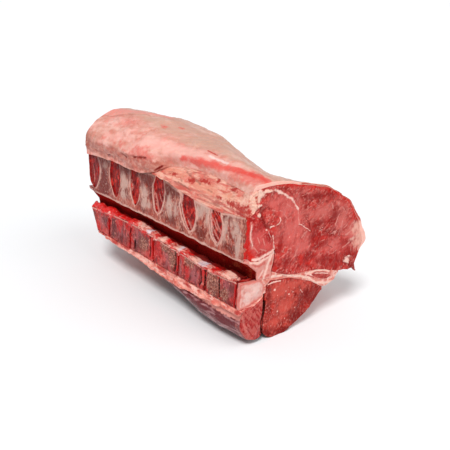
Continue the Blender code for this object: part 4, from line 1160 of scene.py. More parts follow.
points, depth = solid(chine_sides, np.linspace(0, LENGTH, 260), 70, cap_rows=(10, 6),
                      rounding=(0.02, 0.02))
height = (0.12 * rough(points * (1, 0.6, 1), 1.1, seed=51)
          + 0.07 * rough(points, 0.5, 2, seed=52)) * smooth(1.2 - points[..., 0], 0, 0.6)
points = swelled(with_cut(points, depth), height)
marks = {
    "pale": np.clip(0.5 + 0.5 * rough(points * (1, 0.3, 1), 0.9, seed=53), 0, 1),
    "blood": np.maximum(
        on_spots(points[..., 1:], [
            (29.0, 0.2, 0.9, 0.25), (26.0, 0.3, 0.8, 0.2), (16.3, 0.1, 1.0, 0.3),
            (33.0, 0.4, 1.5, 0.3), (10.5, -0.1, 1.0, 0.2), (0.2, 0.2, 0.5, 0.3)]),
        on_line(points[..., 1:], [(0, 0.5), (36, 0.5)], 0.06)),
}
# Chine fat: soft and coral pink with paler lobes drawn out along the back, moist from the saw
chine_fat = tissue(
    "soft_beef_chine_fat", "#e27668",
    blotched=(("#f4a28f", (7, 16, 7), 0.49, 0.08, 0.85),
              ("#cc5445", (6, 14, 6), 0.54, 0.07, 0.75),
              ("#f8c5b6", (4, 12, 4), 0.56, 0.07, 0.8),
              ("#a92c24", (4, 9, 4), 0.60, 0.05, 0.7)),
    marked=(("pale", "#f0aa9c", 6, 0.9, 0.25, 0.5), ("blood", "#b01c18", 4, 1.0, 0.2, 0.85)),
    bumps=((4, 0.8), (1.4, 0.3)), roughness=0.33, wet=0.25)
mesh_piece("chine_fat_band", [(points, marks)], chine_fat, ["chine_fat"])

# ---------------------------------------------------------------------------------------------
# Psoas minor: the small dark muscle that hangs under the backbone's fat. It is lean in a
# bluish membrane, cut across with the rest at the rump end, and it tapers away before the ribs.
PSOAS = {
    0: ((3.78, -0.2), (3.68, -2.2), (3.85, -3.7), (2.6, -4.0), (1.4, -3.5), (0.4, -1.8)),
    6: ((3.5, -0.4), (3.4, -2.3), (3.3, -3.55), (2.2, -3.95), (0.9, -3.5), (0.15, -2.1)),
    12: ((3.3, -0.3), (3.2, -1.6), (2.9, -2.6), (2.0, -2.95), (0.95, -2.55), (0.2, -1.6)),
    18: ((3.2, 0.1), (3.0, -0.6), (2.5, -1.1), (1.9, -1.35), (1.2, -1.3), (0.5, -1.05)),
    21.5: ((3.2, 0.35), (2.9, 0.0), (2.4, -0.45), (1.9, -0.75), (1.3, -0.85), (0.7, -0.75)),
}
PSOAS_END = 21.5


def psoas_sides(distance):
    """Upper side, against the chine fat, and the rounded underside."""
    ceiling = chine_bottom(distance)[THIRD:]
    return ceiling, curve_through([ceiling[-1], *along_table(PSOAS, distance), ceiling[0]])[::-1]


points, depth = solid(psoas_sides, np.linspace(0, PSOAS_END, 150), 130, cap_rows=(34, 4),
                      rounding=(0.01, 0.1))
near, section = depth < 0, points[..., ::2]
across, along, up = np.moveaxis(points, 2, 0)
# The fibres in the cut run slantwise, so the noise is turned by 41 degrees and drawn out
fibres = rough(section @ np.array(((0.75, -0.66), (0.66, 0.75))) * (1.0, 0.16), 0.2, seed=61)
film = rough(points * (1, 0.12, 1), 0.34, seed=63)
height = np.where(near, 0.0, 0.06 * rough(points * (1, 0.3, 1), 0.8, seed=65) + 0.02 * film)
marks = {
    "streaks": np.where(near, 0.5 + 0.45 * fibres, 0.0),
    # Film: pale bluish streaks, partly the membrane's own colour and partly painted sheen
    "film": np.where(near, 0.0, 0.30 + 0.40 * film),
    "pale": np.where(near, on_lines(section, [(0.16, 0.5, -0.2, 0.9, -1.4, 1.3, -2.6)]),
                     np.where(along < 1.0, 0.5, 0)),
    # Painted shade: near black along the crack beside the tenderloin, and over the side that faces
    # it
    "crack": np.where(near, on_line(section, [(3.9, 1.0), (3.8, -0.6), (3.75, -3.6)], 0.07),
                      smooth(across, 2.9, 3.3)),
    "side": np.where(near, 0.0, 1.0),
    "fat": np.where(near, 0.0, smooth(up + 0.25 * rough(points * (1, 0.4, 1), 1.2, seed=67),
                                      -1.5, -0.7) * (1 - smooth(along, 14.0, 19.0))),
}
# Dark lean under a membrane: wine red with a bluish film in streaks, partly painted sheen, wet
# and smooth; painted shade, without shine, in the crack beside the tenderloin
dark_lean = tissue(
    "dark_beef_psoas_in_membrane", "#9e1716",
    blotched=(("#8f0f0e", 9, 0.50, 0.08, 0.7),
              ("#c9504a", (3, 5, 5), 0.56, 0.06, 0.6, (0, 40, 0))),
    marked=(("side", "#641e25", (4, 14, 4), 0.5, 0.2, 0.95),
            # Film: partly painted sheen
            ("film", "#c08d8e", (3, 10, 3), 0.7, 0.15, 0.7),
            ("fat", "#e6978a", 4, 0.9, 0.2, 0.9),
            ("streaks", "#d07468", 2.2, 1.2, 0.2, 0.4),
            ("pale", "#d07a6f", 4, 1.2, 0.3, 0.5),
            # Painted shade in the crack
            ("crack", "#2c0303", 2, 0.4, 0.2, 0.95)),
    bumps=((4, 0.7), (1.4, 0.35)), roughness=0.28, wet=0.35, dull="crack")
mesh_piece("psoas_minor_muscle", [(swelled(with_cut(points, depth), height), marks)], dark_lean,
           ["psoas_minor"])

# ---------------------------------------------------------------------------------------------
# Vertebrae: six of the back, sawn in half along the spinal canal. Each is a body of spongy red
# bone below the canal, an arch of hard bone over it and a tall feather bone above. The saw left
# their marrow open, and they hang together by the discs and the muscles.
# Distance from disc to disc, place of the first, and thickness of each
PITCH, FIRST_DISC, DISC = 6.0, 0.7, 0.44
# How far the bodies, and the feet of the arches, reach across
BONE_SIDE = 3.65
ARCH_SIDE = 4.62
# Depth of the canal at the rump end, and the share of it that is lost towards the ribs
CANAL_DEPTH, CANAL_CLOSING = 2.5, 0.4
# Height of a feather bone's foot, and the height that its stretch to the tips is measured from
BLADE_FOOT, BLADE_REACHES_FROM = 6.5, 6.45
# Shares of its width and of its height that a body loses at its waist
WAIST = (0.10, 0.07)
# Each teardrop's top and bottom along, the height of its bottom, and half its width
LIGAMENTS = ((5.6, 5.1, 7.3, 1.35), (11.4, 10.7, 7.2, 1.65), (18.0, 18.0, 7.5, 1.35),
             (24.1, 23.8, 7.2, 1.3), (29.6, 29.2, 7.0, 1.6), (34.7, 34.4, 6.9, 1.45))


def body_outline(top, foot=BONE_BOTTOM):
    """Half of a vertebral body in section: its sawn side and top, and its underside."""
    sawn = ((0.0, foot), (0.0, top), (1.9, top), (3.0, top), (BONE_SIDE, top - 0.7),
            (BONE_SIDE, 1.75))
    under = ((0.0, foot), (1.6, 0.72), (2.7, 1.1), (BONE_SIDE, 1.75))
    return np.array(sawn), np.array(under)


def waisted_body(distance, start, end):
    """Body section drawn in at the waist, between the flared ends beside the discs."""
    waist = math.sin(math.pi * (distance - start) / (end - start))
    top = body_top(distance)
    middle = (top + BONE_BOTTOM) / 2
    narrow, flat = 1 - WAIST[0] * waist, 1 - WAIST[1] * waist
    return [np.stack((side[:, 0] * narrow, middle + (side[:, 1] - middle) * flat), axis=1)
            for side in body_outline(top)]


def canal_depth(distance):
    """Depth of the halved canal, which closes towards the ribs."""
    return CANAL_DEPTH * (1 - CANAL_CLOSING * distance / LENGTH)


def arch_sides(distance):
    """Half of a vertebral arch in section: the canal's vault with the pedicle, and its outside."""
    depth = canal_depth(distance)
    foot = body_top(distance) - 0.02
    vault = [(depth * x, y) for x, y in ((0, 6.4), (0.36, 6.05), (0.68, 5.4), (0.94, 4.9))]
    inner = [(0.0, 6.6), *vault, (depth, foot), (ARCH_SIDE, foot)]
    outer = [(0.0, 6.6), (0.0, 6.8), (FEATHER, 6.8), (1.2, 6.42), (2.4, 6.32), (4.0, 6.72),
             (4.9, 7.25), (4.85, 6.4), (4.75, 5.5), (ARCH_SIDE, foot)]
    return np.array(inner), np.array(outer)


def heights_at(height_along_it, along):
    """Heights at many places at once, between those at every centimetre."""
    centimetres = range(37)
    return np.interp(along, centimetres, [height_along_it(distance) for distance in centimetres])


def ligament_top(number):
    """Height at which a teardrop of muscle ends, just under the feather bones' tips."""
    top_along, _, _, widest = LIGAMENTS[number]
    return min(feather_tip(top_along + side * widest) for side in (-1, 0, 1)) - 0.06


def ligament_sides(number, up):
    """Near and far edge, at each height, of the teardrop of muscle between two feather bones."""
    top_along, bottom_along, bottom, widest = LIGAMENTS[number]
    top = ligament_top(number)
    rise = np.clip((up - bottom) / (top - bottom), 0, 1)
    centre = bottom_along + (top_along - bottom_along) * rise
    half = widest * np.sin(np.minimum(rise * 1.5, 1.0) * math.pi / 2) ** 0.55
    half = np.where(rise > 0.7, half * (1 - 0.8 * (rise - 0.7)), half)
    return centre - half, np.minimum(centre + half, LENGTH)


def upright(sides_at, heights, count, front, back):
    """Rings of a thin slab on the sawn face, each a loop in the plane at one height.

    sides_at gives the near and far edges at all heights. A loop runs from the far edge along
    the front to the near edge and returns along the back.
    """
    near, far = sides_at(heights)
    middle = (front + back) / 2
    rows = []
    for height, low, high in zip(heights, near, far):
        face = even_steps([(high, middle), (high, front), (low, front), (low, middle)], count)
        rear = even_steps([(high, middle), (high, back), (low, back), (low, middle)], count)
        ring = np.vstack((face, rear[-2:0:-1]))
        rows.append(np.stack((ring[:, 1], ring[:, 0], np.full(len(ring), height)), axis=1))
    foot, head = rows[0].copy(), rows[-1].copy()
    foot[:, 0], head[:, 0] = middle, middle
    return np.stack((foot, *rows, head))


# Places on the sawn face, as (along, up, half sizes): in the feather bones, dark marrow and
# grey hard bone; in the bodies, raw red beside the discs, mauve bone, open pores and cracks
MARROW = [
    (3.6, 11.2, 0.9, 0.5), (8.4, 7.6, 1.1, 0.9), (14.6, 11.6, 1.5, 0.8), (16.3, 11.0, 0.6, 1.2),
    (15.0, 7.6, 1.6, 0.7), (20.7, 11.5, 1.6, 1.1), (19.8, 9.8, 0.5, 1.2), (26.6, 11.5, 1.3, 0.9),
    (26.5, 8.4, 0.9, 0.6), (32.3, 10.0, 0.9, 2.2), (32.2, 7.5, 1.2, 0.9), (2.6, 7.7, 1.2, 0.6),
    (21.5, 7.2, 1.2, 0.4), (12.4, 7.0, 0.8, 0.4)
]
GREY = [
    (3.5, 9.8, 0.4, 1.4), (1.7, 10.3, 0.7, 1.2), (8.5, 10.6, 0.9, 0.9), (21.3, 8.9, 0.7, 1.5),
    (15.4, 9.4, 0.7, 1.2), (13.9, 9.2, 0.5, 0.9), (26.9, 9.9, 0.9, 1.1), (32.0, 11.2, 0.5, 0.6),
    (0.9, 8.4, 0.4, 1.6), (7.3, 9.9, 0.4, 1.2), (20.2, 8.2, 0.4, 0.6), (27.0, 8.3, 0.5, 1.2)
]
RAW = [
    (5.3, 4.1, 0.8, 0.3), (7.3, 3.0, 0.35, 1.2), (13.1, 2.2, 0.45, 1.8), (19.0, 2.4, 0.7, 1.8),
    (24.7, 2.6, 0.5, 1.5), (30.8, 2.6, 0.6, 1.8), (17.5, 2.9, 0.9, 1.3), (34.5, 3.8, 1.8, 0.5),
    (27.9, 3.4, 0.9, 0.9), (1.0, 2.0, 0.25, 1.6), (21.0, 4.0, 1.5, 0.35), (31.5, 4.1, 3.2, 0.4),
    (28.5, 4.3, 2.2, 0.4), (10.8, 1.5, 0.5, 1.2), (11.6, 3.2, 1.0, 0.4), (34.9, 1.6, 0.8, 0.6),
    (25.6, 3.6, 0.6, 1.0)
]
MAUVE = [
    (2.3, 2.3, 0.9, 1.3), (9.2, 2.0, 1.1, 1.0), (15.2, 1.9, 0.9, 1.0), (22.3, 2.9, 1.1, 1.1),
    (27.0, 2.0, 1.4, 0.9), (33.0, 2.6, 1.2, 1.0), (12.3, 2.0, 0.4, 1.2), (28.9, 3.0, 0.8, 1.0)
]
POROUS = [
    (5.3, 2.1, 1.25, 1.35), (2.9, 1.6, 0.7, 0.7), (15.9, 3.4, 1.0, 0.5), (10.4, 3.0, 1.0, 0.6),
    (14.2, 2.6, 0.7, 1.2), (21.2, 2.2, 0.8, 0.9)
]
# Clefts: cracks in the bodies, painted near black as shade
CLEFTS = [
    (0.10, 3.9, 3.3, 3.8, 2.4, 3.95, 1.7, 3.85, 0.9), (0.06, 6.98, 3.3, 7.0, 0.8),
    (0.10, 7.75, 3.2, 7.6, 1.6, 7.8, 0.7), (0.07, 0.45, 3.5, 0.5, 0.8),
    (0.16, 13.5, 3.4, 13.35, 1.9, 13.5, 0.9), (0.12, 19.5, 3.6, 19.4, 2.0, 19.6, 1.0),
    (0.18, 23.4, 2.0, 23.4, 1.0), (0.06, 25.0, 3.8, 25.1, 1.4), (0.06, 31.2, 3.8, 31.1, 1.6),
    (0.05, 28.2, 3.0, 28.3, 1.4)
]
# Widths of the hard bone at each teardrop's near and far edge
RIM_WIDTHS = ((0.7, 0.6), (0.75, 0.6), (0.45, 0.4), (0.2, 0.45), (0.2, 0.25), (0.6, 0.15))


def bone_marks(points, part):
    """Marks of sawn bone: marrow, grey bone, raw red, hard rims and the dark red of the canal,
    with painted shade in its depths, in the clefts and below the feather bones' tips.
    """
    across, along, up = np.moveaxis(points, 2, 0)
    face = wandering(points[..., 1:], 0.8, 0.12, seed=75)
    sawn = 1 - smooth(across, 0.02, 0.12)
    body, arch, blade = part == "body", part == "arch", part == "blade"
    below_tips = heights_at(feather_tip, along) - up
    below_floor = heights_at(body_top, along) - up
    rims = np.zeros(across.shape)
    if blade:
        for number, (near_rim, far_rim) in enumerate(RIM_WIDTHS):
            near, far = ligament_sides(number, up)
            below = np.maximum(LIGAMENTS[number][2] - up, 0)
            reach = np.hypot(np.maximum(np.maximum(near - along, along - far), 0), below)
            width = np.where(along < (near + far) / 2, near_rim, far_rim)
            rims = np.maximum(rims, 1 - reach / width)
        rims = np.maximum(rims, 1 - below_tips / 0.42)
    if arch or blade:
        rims = np.maximum(rims, 1 - np.abs(face[..., 1] - 6.48) / 0.36)
    end = (along < 0.16) | (along > LENGTH - 0.1)
    cut = end & (across > 0.05)
    hollow = arch & (across > 0.12) & (up < 6.42) & ~end
    section = wandering(points[..., ::2], 0.4, 0.08, seed=77)
    patchy = 0.22 * rough(points, 1.0, seed=73)
    return {
        "marrow": (on_spots(face, MARROW) + patchy) * sawn * blade,
        "grey": (on_spots(face, GREY) + patchy) * sawn * blade,
        "pink": (0.75 * smooth(8.4 - up, 0, 1.6) + patchy) * sawn * (blade | arch),
        # Darker towards the rib end
        "darker_towards_ribs": (0.85 * smooth(along, 25, 34) + patchy) * sawn * (blade | arch),
        "raw": (on_spots(face, RAW) + 0.7 * patchy) * body,
        "lip": body * sawn * np.clip(1 - np.abs(below_floor - 0.14) / 0.22, 0, 1),
        "flecks": (0.12 + 0.45 * lumps(points, 0.26, seed=72)) * sawn,
        "mauve": (on_spots(face, MAUVE) + patchy) * body,
        "porous": (on_spots(face, POROUS) + patchy) * body,
        "pores": np.minimum(0.5, on_spots(face, POROUS)) * body,
        "streaks": (0.3 + 0.5 * rough(points * (1, 1, 0.3), 0.85, 2, seed=74)) * body,
        "specks": (0.14 + 0.45 * lumps(points, 0.24, seed=78)) * (body | blade),
        "rims": (np.clip(rims, 0, 1) * np.where(cut, 0, 1) * (sawn if blade else 1)
                 * (1 - 0.35 * smooth(along, 31, 35))),
        # Painted shade: the feather bones darken below their tips where the cover overhangs them
        "shade_under_cover": blade * sawn * smooth(along, 12, 16) * (1 - smooth(below_tips, 0.3, 2.6)),
        # Canal: dark red over the hollow, partly the lining's colour and partly painted shade,
        # with no shine; depths: near black painted shade deeper in it
        "canal": 1.0 * hollow,
        "depths": hollow * (0.25 + 0.45 * rough(points * (1, 0.5, 1), 1.3, seed=70)),
        "scraps": ((0.28 + 0.55 * lumps(points, 0.5, seed=76)) * hollow
                   * (1 - smooth(along, 4.0, 12.0))),
        "star": 1.0 * (cut & arch),
        "star_red": np.where(cut & arch, 0.25 + on_lines(section, [
            (0.12, 1.5, 6.1, 2.4, 5.7, 3.4, 5.9), (0.10, 4.4, 6.6, 4.5, 5.6),
            (0.12, 2.9, 4.3, 3.6, 4.1, 4.3, 4.2)]), 0.0),
        "star_white": np.where(cut & arch, on_lines(section, [
            (0.16, 1.2, 6.3, 2.4, 6.1, 3.6, 6.4, 4.8, 7.1),
            (0.14, 3.4, 3.9, 3.9, 5.0, 4.1, 6.0, 4.6, 7.0), (0.12, 2.7, 4.2, 3.3, 5.0)]), 0.0),
        "bright": (cut & blade) * smooth(across + 0.22 * rough(section, 0.5, seed=79), 0.1, 0.4),
        # Painted shade in the clefts
        "cleft_shade": on_lines(face, CLEFTS) * body,
    }


# Sawn bone: pinkish grey and matt, with brown-red marrow in blotches, pale hard rims, painted
# shade below the feather bones' tips, and the canal's lining dark red, near black with painted
# shade in its depths, and without any shine
sawn_bone = tissue(
    "sawn_beef_bone_with_marrow", "#b04c3d",
    blotched=(("#c98a78", 12, 0.51, 0.09, 0.8),
              ("#822c20", (8, 8, 12), 0.52, 0.07, 0.8),
              ("#d8a593", (3.5, 3.5, 8), 0.57, 0.06, 0.65),
              ("#731a12", (3, 3, 6), 0.57, 0.05, 0.75)),
    marked=(("pink", "#b2503f", 6, 1.0, 0.25, 0.65),
            ("darker_towards_ribs", "#7c2a22", 8, 0.9, 0.28, 0.75),
            ("marrow", "#701b0d", (4, 4, 6), 1.0, 0.28, 0.88),
            ("grey", "#c8a093", (4, 4, 9), 1.0, 0.32, 0.88),
            ("specks", "#dfab9a", 2.6, 0.6, 0.12, 0.8),
            ("flecks", "#8a170f", 2.8, 0.6, 0.12, 0.8),
            ("rims", "#dca798", 5, 0.8, 0.3, 0.88),
            # Painted shade below the tips
            ("shade_under_cover", "#5e1a12", (4, 4, 7), 0.9, 0.4, 0.7),
            ("star", "#d99186", 3, 0.3, 0.2, 0.95),
            ("star_red", "#c24a3e", 6, 1.3, 0.36, 0.7),
            ("star_white", "#eec7b9", 5, 1.1, 0.42, 0.78),
            ("bright", "#c4130d", 3, 0.8, 0.25, 0.95),
            # Canal and its depths: partly painted shade
            ("canal", "#8a1512", 3, 0.3, 0.2, 1.0),
            ("depths", "#200304", (5, 9, 5), 0.9, 0.25, 0.85),
            ("scraps", "#b84a30", 3, 0.7, 0.2, 0.7)),
    bumps=((4, 1.2), (1.6, 0.6)), roughness=0.32, dull="canal")
# Spongy bone full of red marrow: wine red to mauve, with fine pores that show as tan grains,
# raw wet streaks beside the discs and clefts where it cracked, painted near black as shade
red_marrow = tissue(
    "porous_red_vertebral_marrow", "#bb2823",
    blotched=(("#cf5f58", 9, 0.51, 0.09, 0.8),
              ("#740d0b", (7, 7, 12), 0.52, 0.07, 0.9)),
    marked=(("mauve", "#a4575a", (5, 5, 9), 1.0, 0.3, 0.8),
            ("streaks", "#5c0d0c", (5, 5, 12), 1.0, 0.25, 0.8),
            ("raw", "#c60c0d", (5, 5, 9), 1.1, 0.25, 0.85),
            ("porous", "#97503f", 5, 1.1, 0.35, 0.8),
            ("pores", "#cc947f", 2.2, 1.0, 0.1, 0.75),
            ("pores", "#5c1711", 2.0, 1.0, 0.1, 0.75),
            ("specks", "#e0897b", 2.4, 0.6, 0.12, 0.85),
            ("flecks", "#4a0907", 2.6, 0.6, 0.12, 0.85),
            ("lip", "#e2a394", 4, 1.0, 0.2, 0.8),
            ("cleft_shade", "#1c0203", 2.5, 0.9, 0.3, 0.97)),
    bumps=((3, 1.0), (1.3, 0.6)), roughness=0.32)
disc_places = [FIRST_DISC + PITCH * k for k in range(6)]
arch_ends = [0.0] + [bottom_along for _, bottom_along, _, _ in LIGAMENTS[:5]] + [LENGTH]
for k, disc_place in enumerate(disc_places):
    start = disc_place + DISC / 2 + SEAM
    end = disc_places[k + 1] - DISC / 2 - SEAM if k < 5 else LENGTH
    low = arch_ends[k] + (SEAM / 2 if k else 0)
    high = arch_ends[k + 1] - (SEAM / 2 if k < 5 else 0)
    body, _ = solid(lambda distance: waisted_body(distance, start, end),
                    np.linspace(start, end, 74), 120, cap_rows=(4, 4))
    arch, arch_depth = solid(arch_sides, np.linspace(low, high, 50), 100,
                             cap_rows=(24 if k == 0 else 5, 8), rounding=(0.03, 0.01))

    def blade_sides(up):
        """Near and far edge of the feather bone: the muscles beside it, and the seams below."""
        near = ligament_sides(k - 1, up)[1] + SEAM if k else np.full(len(up), low)
        far = ligament_sides(k, up)[0] - SEAM
        near = np.where(up < LIGAMENTS[k - 1][2], low, near) if k else near
        far = np.where(up < LIGAMENTS[k][2], high, far)
        return near, far

    # The bone is made as high as its middle, then stretched at each place to the tips' line
    tip = feather_tip((low + high) / 2)
    blade = upright(blade_sides, np.linspace(BLADE_FOOT, tip, 95), 80, 0.0, FEATHER + SEAM)
    reach = heights_at(feather_tip, blade[..., 1]) - BLADE_REACHES_FROM
    blade[..., 2] = BLADE_FOOT + (blade[..., 2] - BLADE_FOOT) * reach / (tip - BLADE_FOOT)
    if k == 0:
        arch = with_cut(arch, arch_depth)
        blade[..., 1] -= np.where(blade[..., 1] < 0.03, cut_relief(blade[..., ::2]), 0)
    shells = {}
    for points, part in ((body, "body"), (arch, "arch"), (blade, "blade")):
        marks = bone_marks(points, part)
        relief = 0.05 * rough(points, 0.9, seed=71) - 0.22 * smooth(marks["cleft_shade"], 0.4, 0.9)
        points = points.copy()
        points[..., 0] -= np.where(points[..., 0] < 0.06, relief, 0)
        shells[part] = (points, marks)
    mesh_piece(f"sawn_vertebra_{k + 1}", [shells["arch"], shells["blade"]], sawn_bone,
               [f"vertebra_{k + 1}"])
    mesh_piece(f"sawn_vertebral_body_{k + 1}", [shells["body"]], red_marrow, [])

# ---------------------------------------------------------------------------------------------
# Discs: a thin plate of tough fibrous cartilage between each pair of bodies, which grows on
# both. The saw halved them with the bone, and they shrank back a little from its cut.
DISC_SHRINKS = 0.14  # how far its sawn edge lies back
# Blood-wet gristle: its pale fibres show only in specks through the dark red blood in the gap,
# and its near-black blotches are painted shade in the gap
disc_gristle = tissue(
    "blood_wet_disc_gristle_and_painted_shade", "#940c0c",
    blotched=(("#c9201a", (6, 3, 14), 0.50, 0.05, 0.9),
              ("#2c0304", (5, 3, 10), 0.53, 0.05, 0.9),
              ("#e07c71", (4, 1.5, 9), 0.61, 0.04, 0.7)),
    bumps=((3, 0.8), (1.4, 0.4)), roughness=0.25, wet=0.4)
for k, disc_place in enumerate(disc_places):
    lip = body_outline(body_top(disc_place) - 0.1, BONE_BOTTOM + 0.05)
    points, _ = solid(lambda distance: lip,
                      np.linspace(disc_place - DISC / 2, disc_place + DISC / 2, 8), 90,
                      cap_rows=(5, 5), rounding=(0.08, 0.08))
    points[..., 0] += DISC_SHRINKS * (1 - smooth(points[..., 0], 0.0, 0.6))
    mesh_piece(f"spine_disc_{k + 1}", [(points, {})], disc_gristle, [f"disc_{k + 1}"])

# ---------------------------------------------------------------------------------------------
# End plate: the smooth cap of cartilage on the first body, bared where the knife parted the
# joint between two vertebrae. It grows on the bone and lies flush with the cut.
points, depth = solid(lambda distance: body_outline(PLATE_TOP),
                      np.linspace(0, FIRST_DISC - DISC / 2 - SEAM, 8), 120, cap_rows=(34, 4),
                      rounding=(0.02, 0.02))
section = points[..., ::2]
marks = {
    "pink": np.maximum(np.clip(1 - np.abs(depth) / 0.5, 0, 1) * (depth != 0), 0.55 * (depth == 0)),
    "white": np.where(depth < 0, on_spots(section, [(2.3, 2.6, 0.9, 0.8), (1.3, 2.0, 0.5, 0.7)]),
                      0.2),
}
# Smooth gristle: pearly pink, redder round its edge where it passes into the bone
plate_gristle = tissue(
    "smooth_end_plate_gristle", "#d8998f",
    blotched=(("#c97b70", 8, 0.53, 0.08, 0.7), ("#e5bbb0", 7, 0.54, 0.07, 0.6)),
    marked=(("pink", "#cf5c51", 5, 0.9, 0.3, 0.75), ("white", "#e4c6bd", 6, 0.9, 0.3, 0.6)),
    bumps=((4, 0.8),), roughness=0.33)
mesh_piece("cartilage_end_plate", [(with_cut(points, depth), marks)], plate_gristle,
           ["end_plate"])

# ---------------------------------------------------------------------------------------------
# Interspinous muscles: teardrops of short red muscle between the feather bones, which tie each
# bone to the next. They are streaked with white ligament, slantwise near the ribs, and the saw
# laid them open a little below the bone. A tuple below has one value for each of the six.
# Width of the white edge, slant of the strands, and how far they are thinned out
EDGES = (0.5, 0.42, 0.22, 0.14, 0.12, 0.14)
STEEPNESS = (1.6, 1.3, 0.8, 0.35, 0.25, 0.3)
FEWER_BANDS = (-0.06, 0.0, 0.05, 0.2, 0.26, 0.24)
# Wet lean with ligament: dark red between pale pink strands, with a dull gloss
streaked_lean = tissue(
    "streaked_interspinous_beef", "#b01210",
    blotched=(("#7a0504", (7, 7, 10), 0.51, 0.08, 0.8),
              ("#d23a2e", (5, 5, 9), 0.53, 0.06, 0.75, (30, 0, 0)),
              ("#440202", (5, 5, 8), 0.58, 0.05, 0.8)),
    marked=(("deep", "#600405", 5, 1.0, 0.25, 0.7),
            ("bands", "#cb7c70", 2.2, 0.7, 0.13, 0.85),
            ("ligament", "#d5a499", 2.5, 0.9, 0.25, 0.85)),
    bumps=((3, 0.8), (1.3, 0.4)), roughness=0.3, shine=0.1, wet=0.12)
for k, (_, bottom_along, bottom, _) in enumerate(LIGAMENTS):
    top = ligament_top(k)
    points = upright(lambda up: ligament_sides(k, up), np.linspace(bottom + 0.02, top, 90), 60,
                     0.08, FEATHER + SEAM)
    near, far = ligament_sides(k, points[..., 2])
    points[..., 2] = bottom + (points[..., 2] - bottom) * (
        heights_at(feather_tip, points[..., 1]) + 0.03 - bottom) / (top - bottom)
    across, along, up = np.moveaxis(points, 2, 0)
    edge = np.minimum(along - near, far - along)
    slope = (along - bottom_along) * (1.2 if k > 2 else 0.7) - (up - bottom) * STEEPNESS[k] * 0.45
    strayed_slope = slope + 0.12 * rough(points[..., 1:], 0.8, 2, seed=80 + k)
    bands = lumps(np.stack((strayed_slope, 0.16 * up), axis=-1), 0.26, seed=81 + k)
    marks = {
        "ligament": np.clip(1 - edge / EDGES[k], 0, 1),
        "bands": np.clip(0.34 + 0.55 * bands - FEWER_BANDS[k]
                         - 0.16 * smooth(up, bottom + 2.0, top), 0, 1),
        "deep": np.clip(0.45 + 0.03 * k + 0.3 * lumps(points, 0.9, seed=83), 0, 1),
    }
    points = points.copy()
    points[..., 0] += np.where(across < 0.3, 0.16 * smooth(edge, 0.05, 0.4) + 0.05 * bands, 0)
    mesh_piece(f"interspinous_meat_{k + 1}", [(points, marks)], streaked_lean,
               [f"interspinous_muscle_{k + 1}"])

# ---------------------------------------------------------------------------------------------
# Canal fat: what is left on the floor of the spinal canal once its cord is drawn out. It is
# cream fat, torn lining and clotted blood, stuck to the bone and hanging over the sawn edge.
# Drips over the edge, as (along, reach, drop)
DRIPS = ((5.3, 0.5, 0.3), (7.5, 0.5, 0.25), (13.0, 0.35, 0.5), (18.7, 0.6, 0.5), (21.3, 0.5, 0.2),
         (24.8, 0.5, 0.7), (28.2, 0.6, 0.3), (30.6, 0.6, 0.8), (33.2, 0.6, 0.3))
# About the height of the canal's floor, and the share of its depth that the fat fills
CANAL_FLOOR, CANAL_FILLED = 3.6, 0.82


def canal_fat_sides(distance):
    """Lumpy top, from over the sawn edge back into the canal, and the flat base in the bone."""
    width = canal_depth(distance) * CANAL_FILLED
    ground = body_top(distance) + 0.05
    at = np.array((distance, 0.0))
    wave, edge = float(rough(at, 2.6, 3, seed=87)), float(rough(at, 1.7, 3, seed=89))
    crest = ground + 0.42 + 0.16 * wave + 0.15 * float(smooth(distance, 31.0, 35.0))
    drip = max(math.exp(-((distance - middle) / reach) ** 2) * drop
               for middle, reach, drop in DRIPS)
    front, hang = -0.07 + 0.05 * edge, 0.2 + 0.1 * edge + drip
    top = ((0.06, ground - hang), (front + 0.02, ground - 0.6 * hang), (front, ground + 0.02),
           (front + 0.12, ground + 0.22), (0.4 * width, crest), (0.75 * width, crest - 0.05),
           (width, ground + 0.25), (width, ground - 0.16))
    return np.array(top), np.array((top[0], top[-1]))


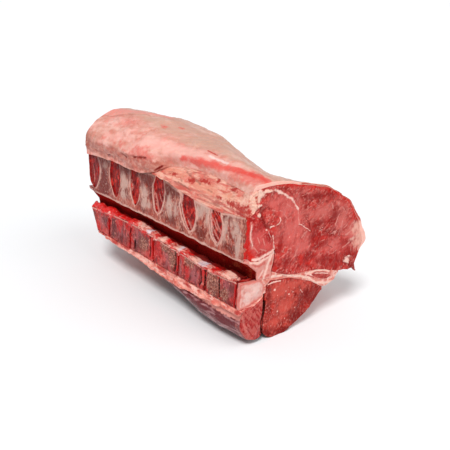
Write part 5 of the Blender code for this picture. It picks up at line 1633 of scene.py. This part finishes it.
points, _ = solid(canal_fat_sides, np.linspace(1.2, 35.5, 345), 50, cap_rows=(6, 6),
                  rounding=(0.15, 0.15))
across, along, up = np.moveaxis(points, 2, 0)
lift = 0.17 * rough(points * (1, 0.8, 1), 0.9, seed=91) * (up > CANAL_FLOOR + 0.1)
marks = {
    "red": np.maximum(smooth(along, 22.0, 26.0), on_spots(points[..., 1:], [
        (5.2, 4.1, 0.7, 0.5), (18.0, 4.5, 0.5, 0.4), (15.6, 4.4, 0.6, 0.3), (11.6, 3.7, 1.0, 0.2),
        (20.8, 4.1, 1.6, 0.2), (14.0, 3.8, 1.0, 0.15), (10.6, 4.1, 0.8, 0.25),
        (25.0, 4.6, 2.0, 0.8)])),
    "cream": on_spots(points[..., 1:], [
        (16.8, 4.5, 0.9, 0.5), (22.3, 4.7, 1.2, 0.5), (9.3, 4.1, 1.2, 0.5), (13.2, 4.3, 0.7, 0.4),
        (2.4, 4.1, 1.0, 0.4)]),
    "blue": on_spots(points[..., 1:], [
        (7.7, 3.95, 0.8, 0.4), (19.9, 4.5, 0.4, 0.3), (12.6, 4.2, 0.3, 0.3)]),
    "strands": 0.2 + 0.45 * lumps(points * (1, 0.5, 1), 0.32, seed=93),
    "glints": 0.12 + 0.45 * lumps(points * (1, 0.7, 1), 0.3, seed=94),
    "shade": smooth(across, 0.65, 1.1),
}
# Torn fat in blood: cream lobes and bright red clots side by side, the wettest place of all
canal_lining = tissue(
    "torn_canal_fat_and_blood", "#de6e62",
    blotched=(("#ec9d8d", (5, 9, 5), 0.51, 0.07, 0.8),
              ("#b71c18", (4, 9, 4), 0.53, 0.06, 0.85),
              ("#f3c3b5", (2.5, 8, 2.5), 0.60, 0.05, 0.7),
              ("#7c0a09", (3, 6, 3), 0.61, 0.05, 0.7)),
    marked=(("cream", "#f6c3b0", (3, 6, 3), 1.1, 0.3, 0.8),
            ("red", "#dd1113", (4, 7, 4), 1.1, 0.3, 0.9),
            ("strands", "#a5150f", (2.5, 8, 2.5), 0.9, 0.14, 0.8),
            ("glints", "#f7d3c6", (2, 6, 2), 0.9, 0.14, 0.8),
            ("blue", "#e2ccd0", 3, 0.7, 0.2, 0.95),
            ("shade", "#7c110e", 4, 0.6, 0.25, 0.97)),
    bumps=((3, 0.9), (1.3, 0.4)), roughness=0.2, wet=0.5, dull="shade")
mesh_piece("torn_canal_fat", [(swelled(points, lift), marks)], canal_lining,
           ["canal_fat"])

# ---------------------------------------------------------------------------------------------
# The finished joint: the view layer is brought up to date.
bpy.context.view_layer.update()
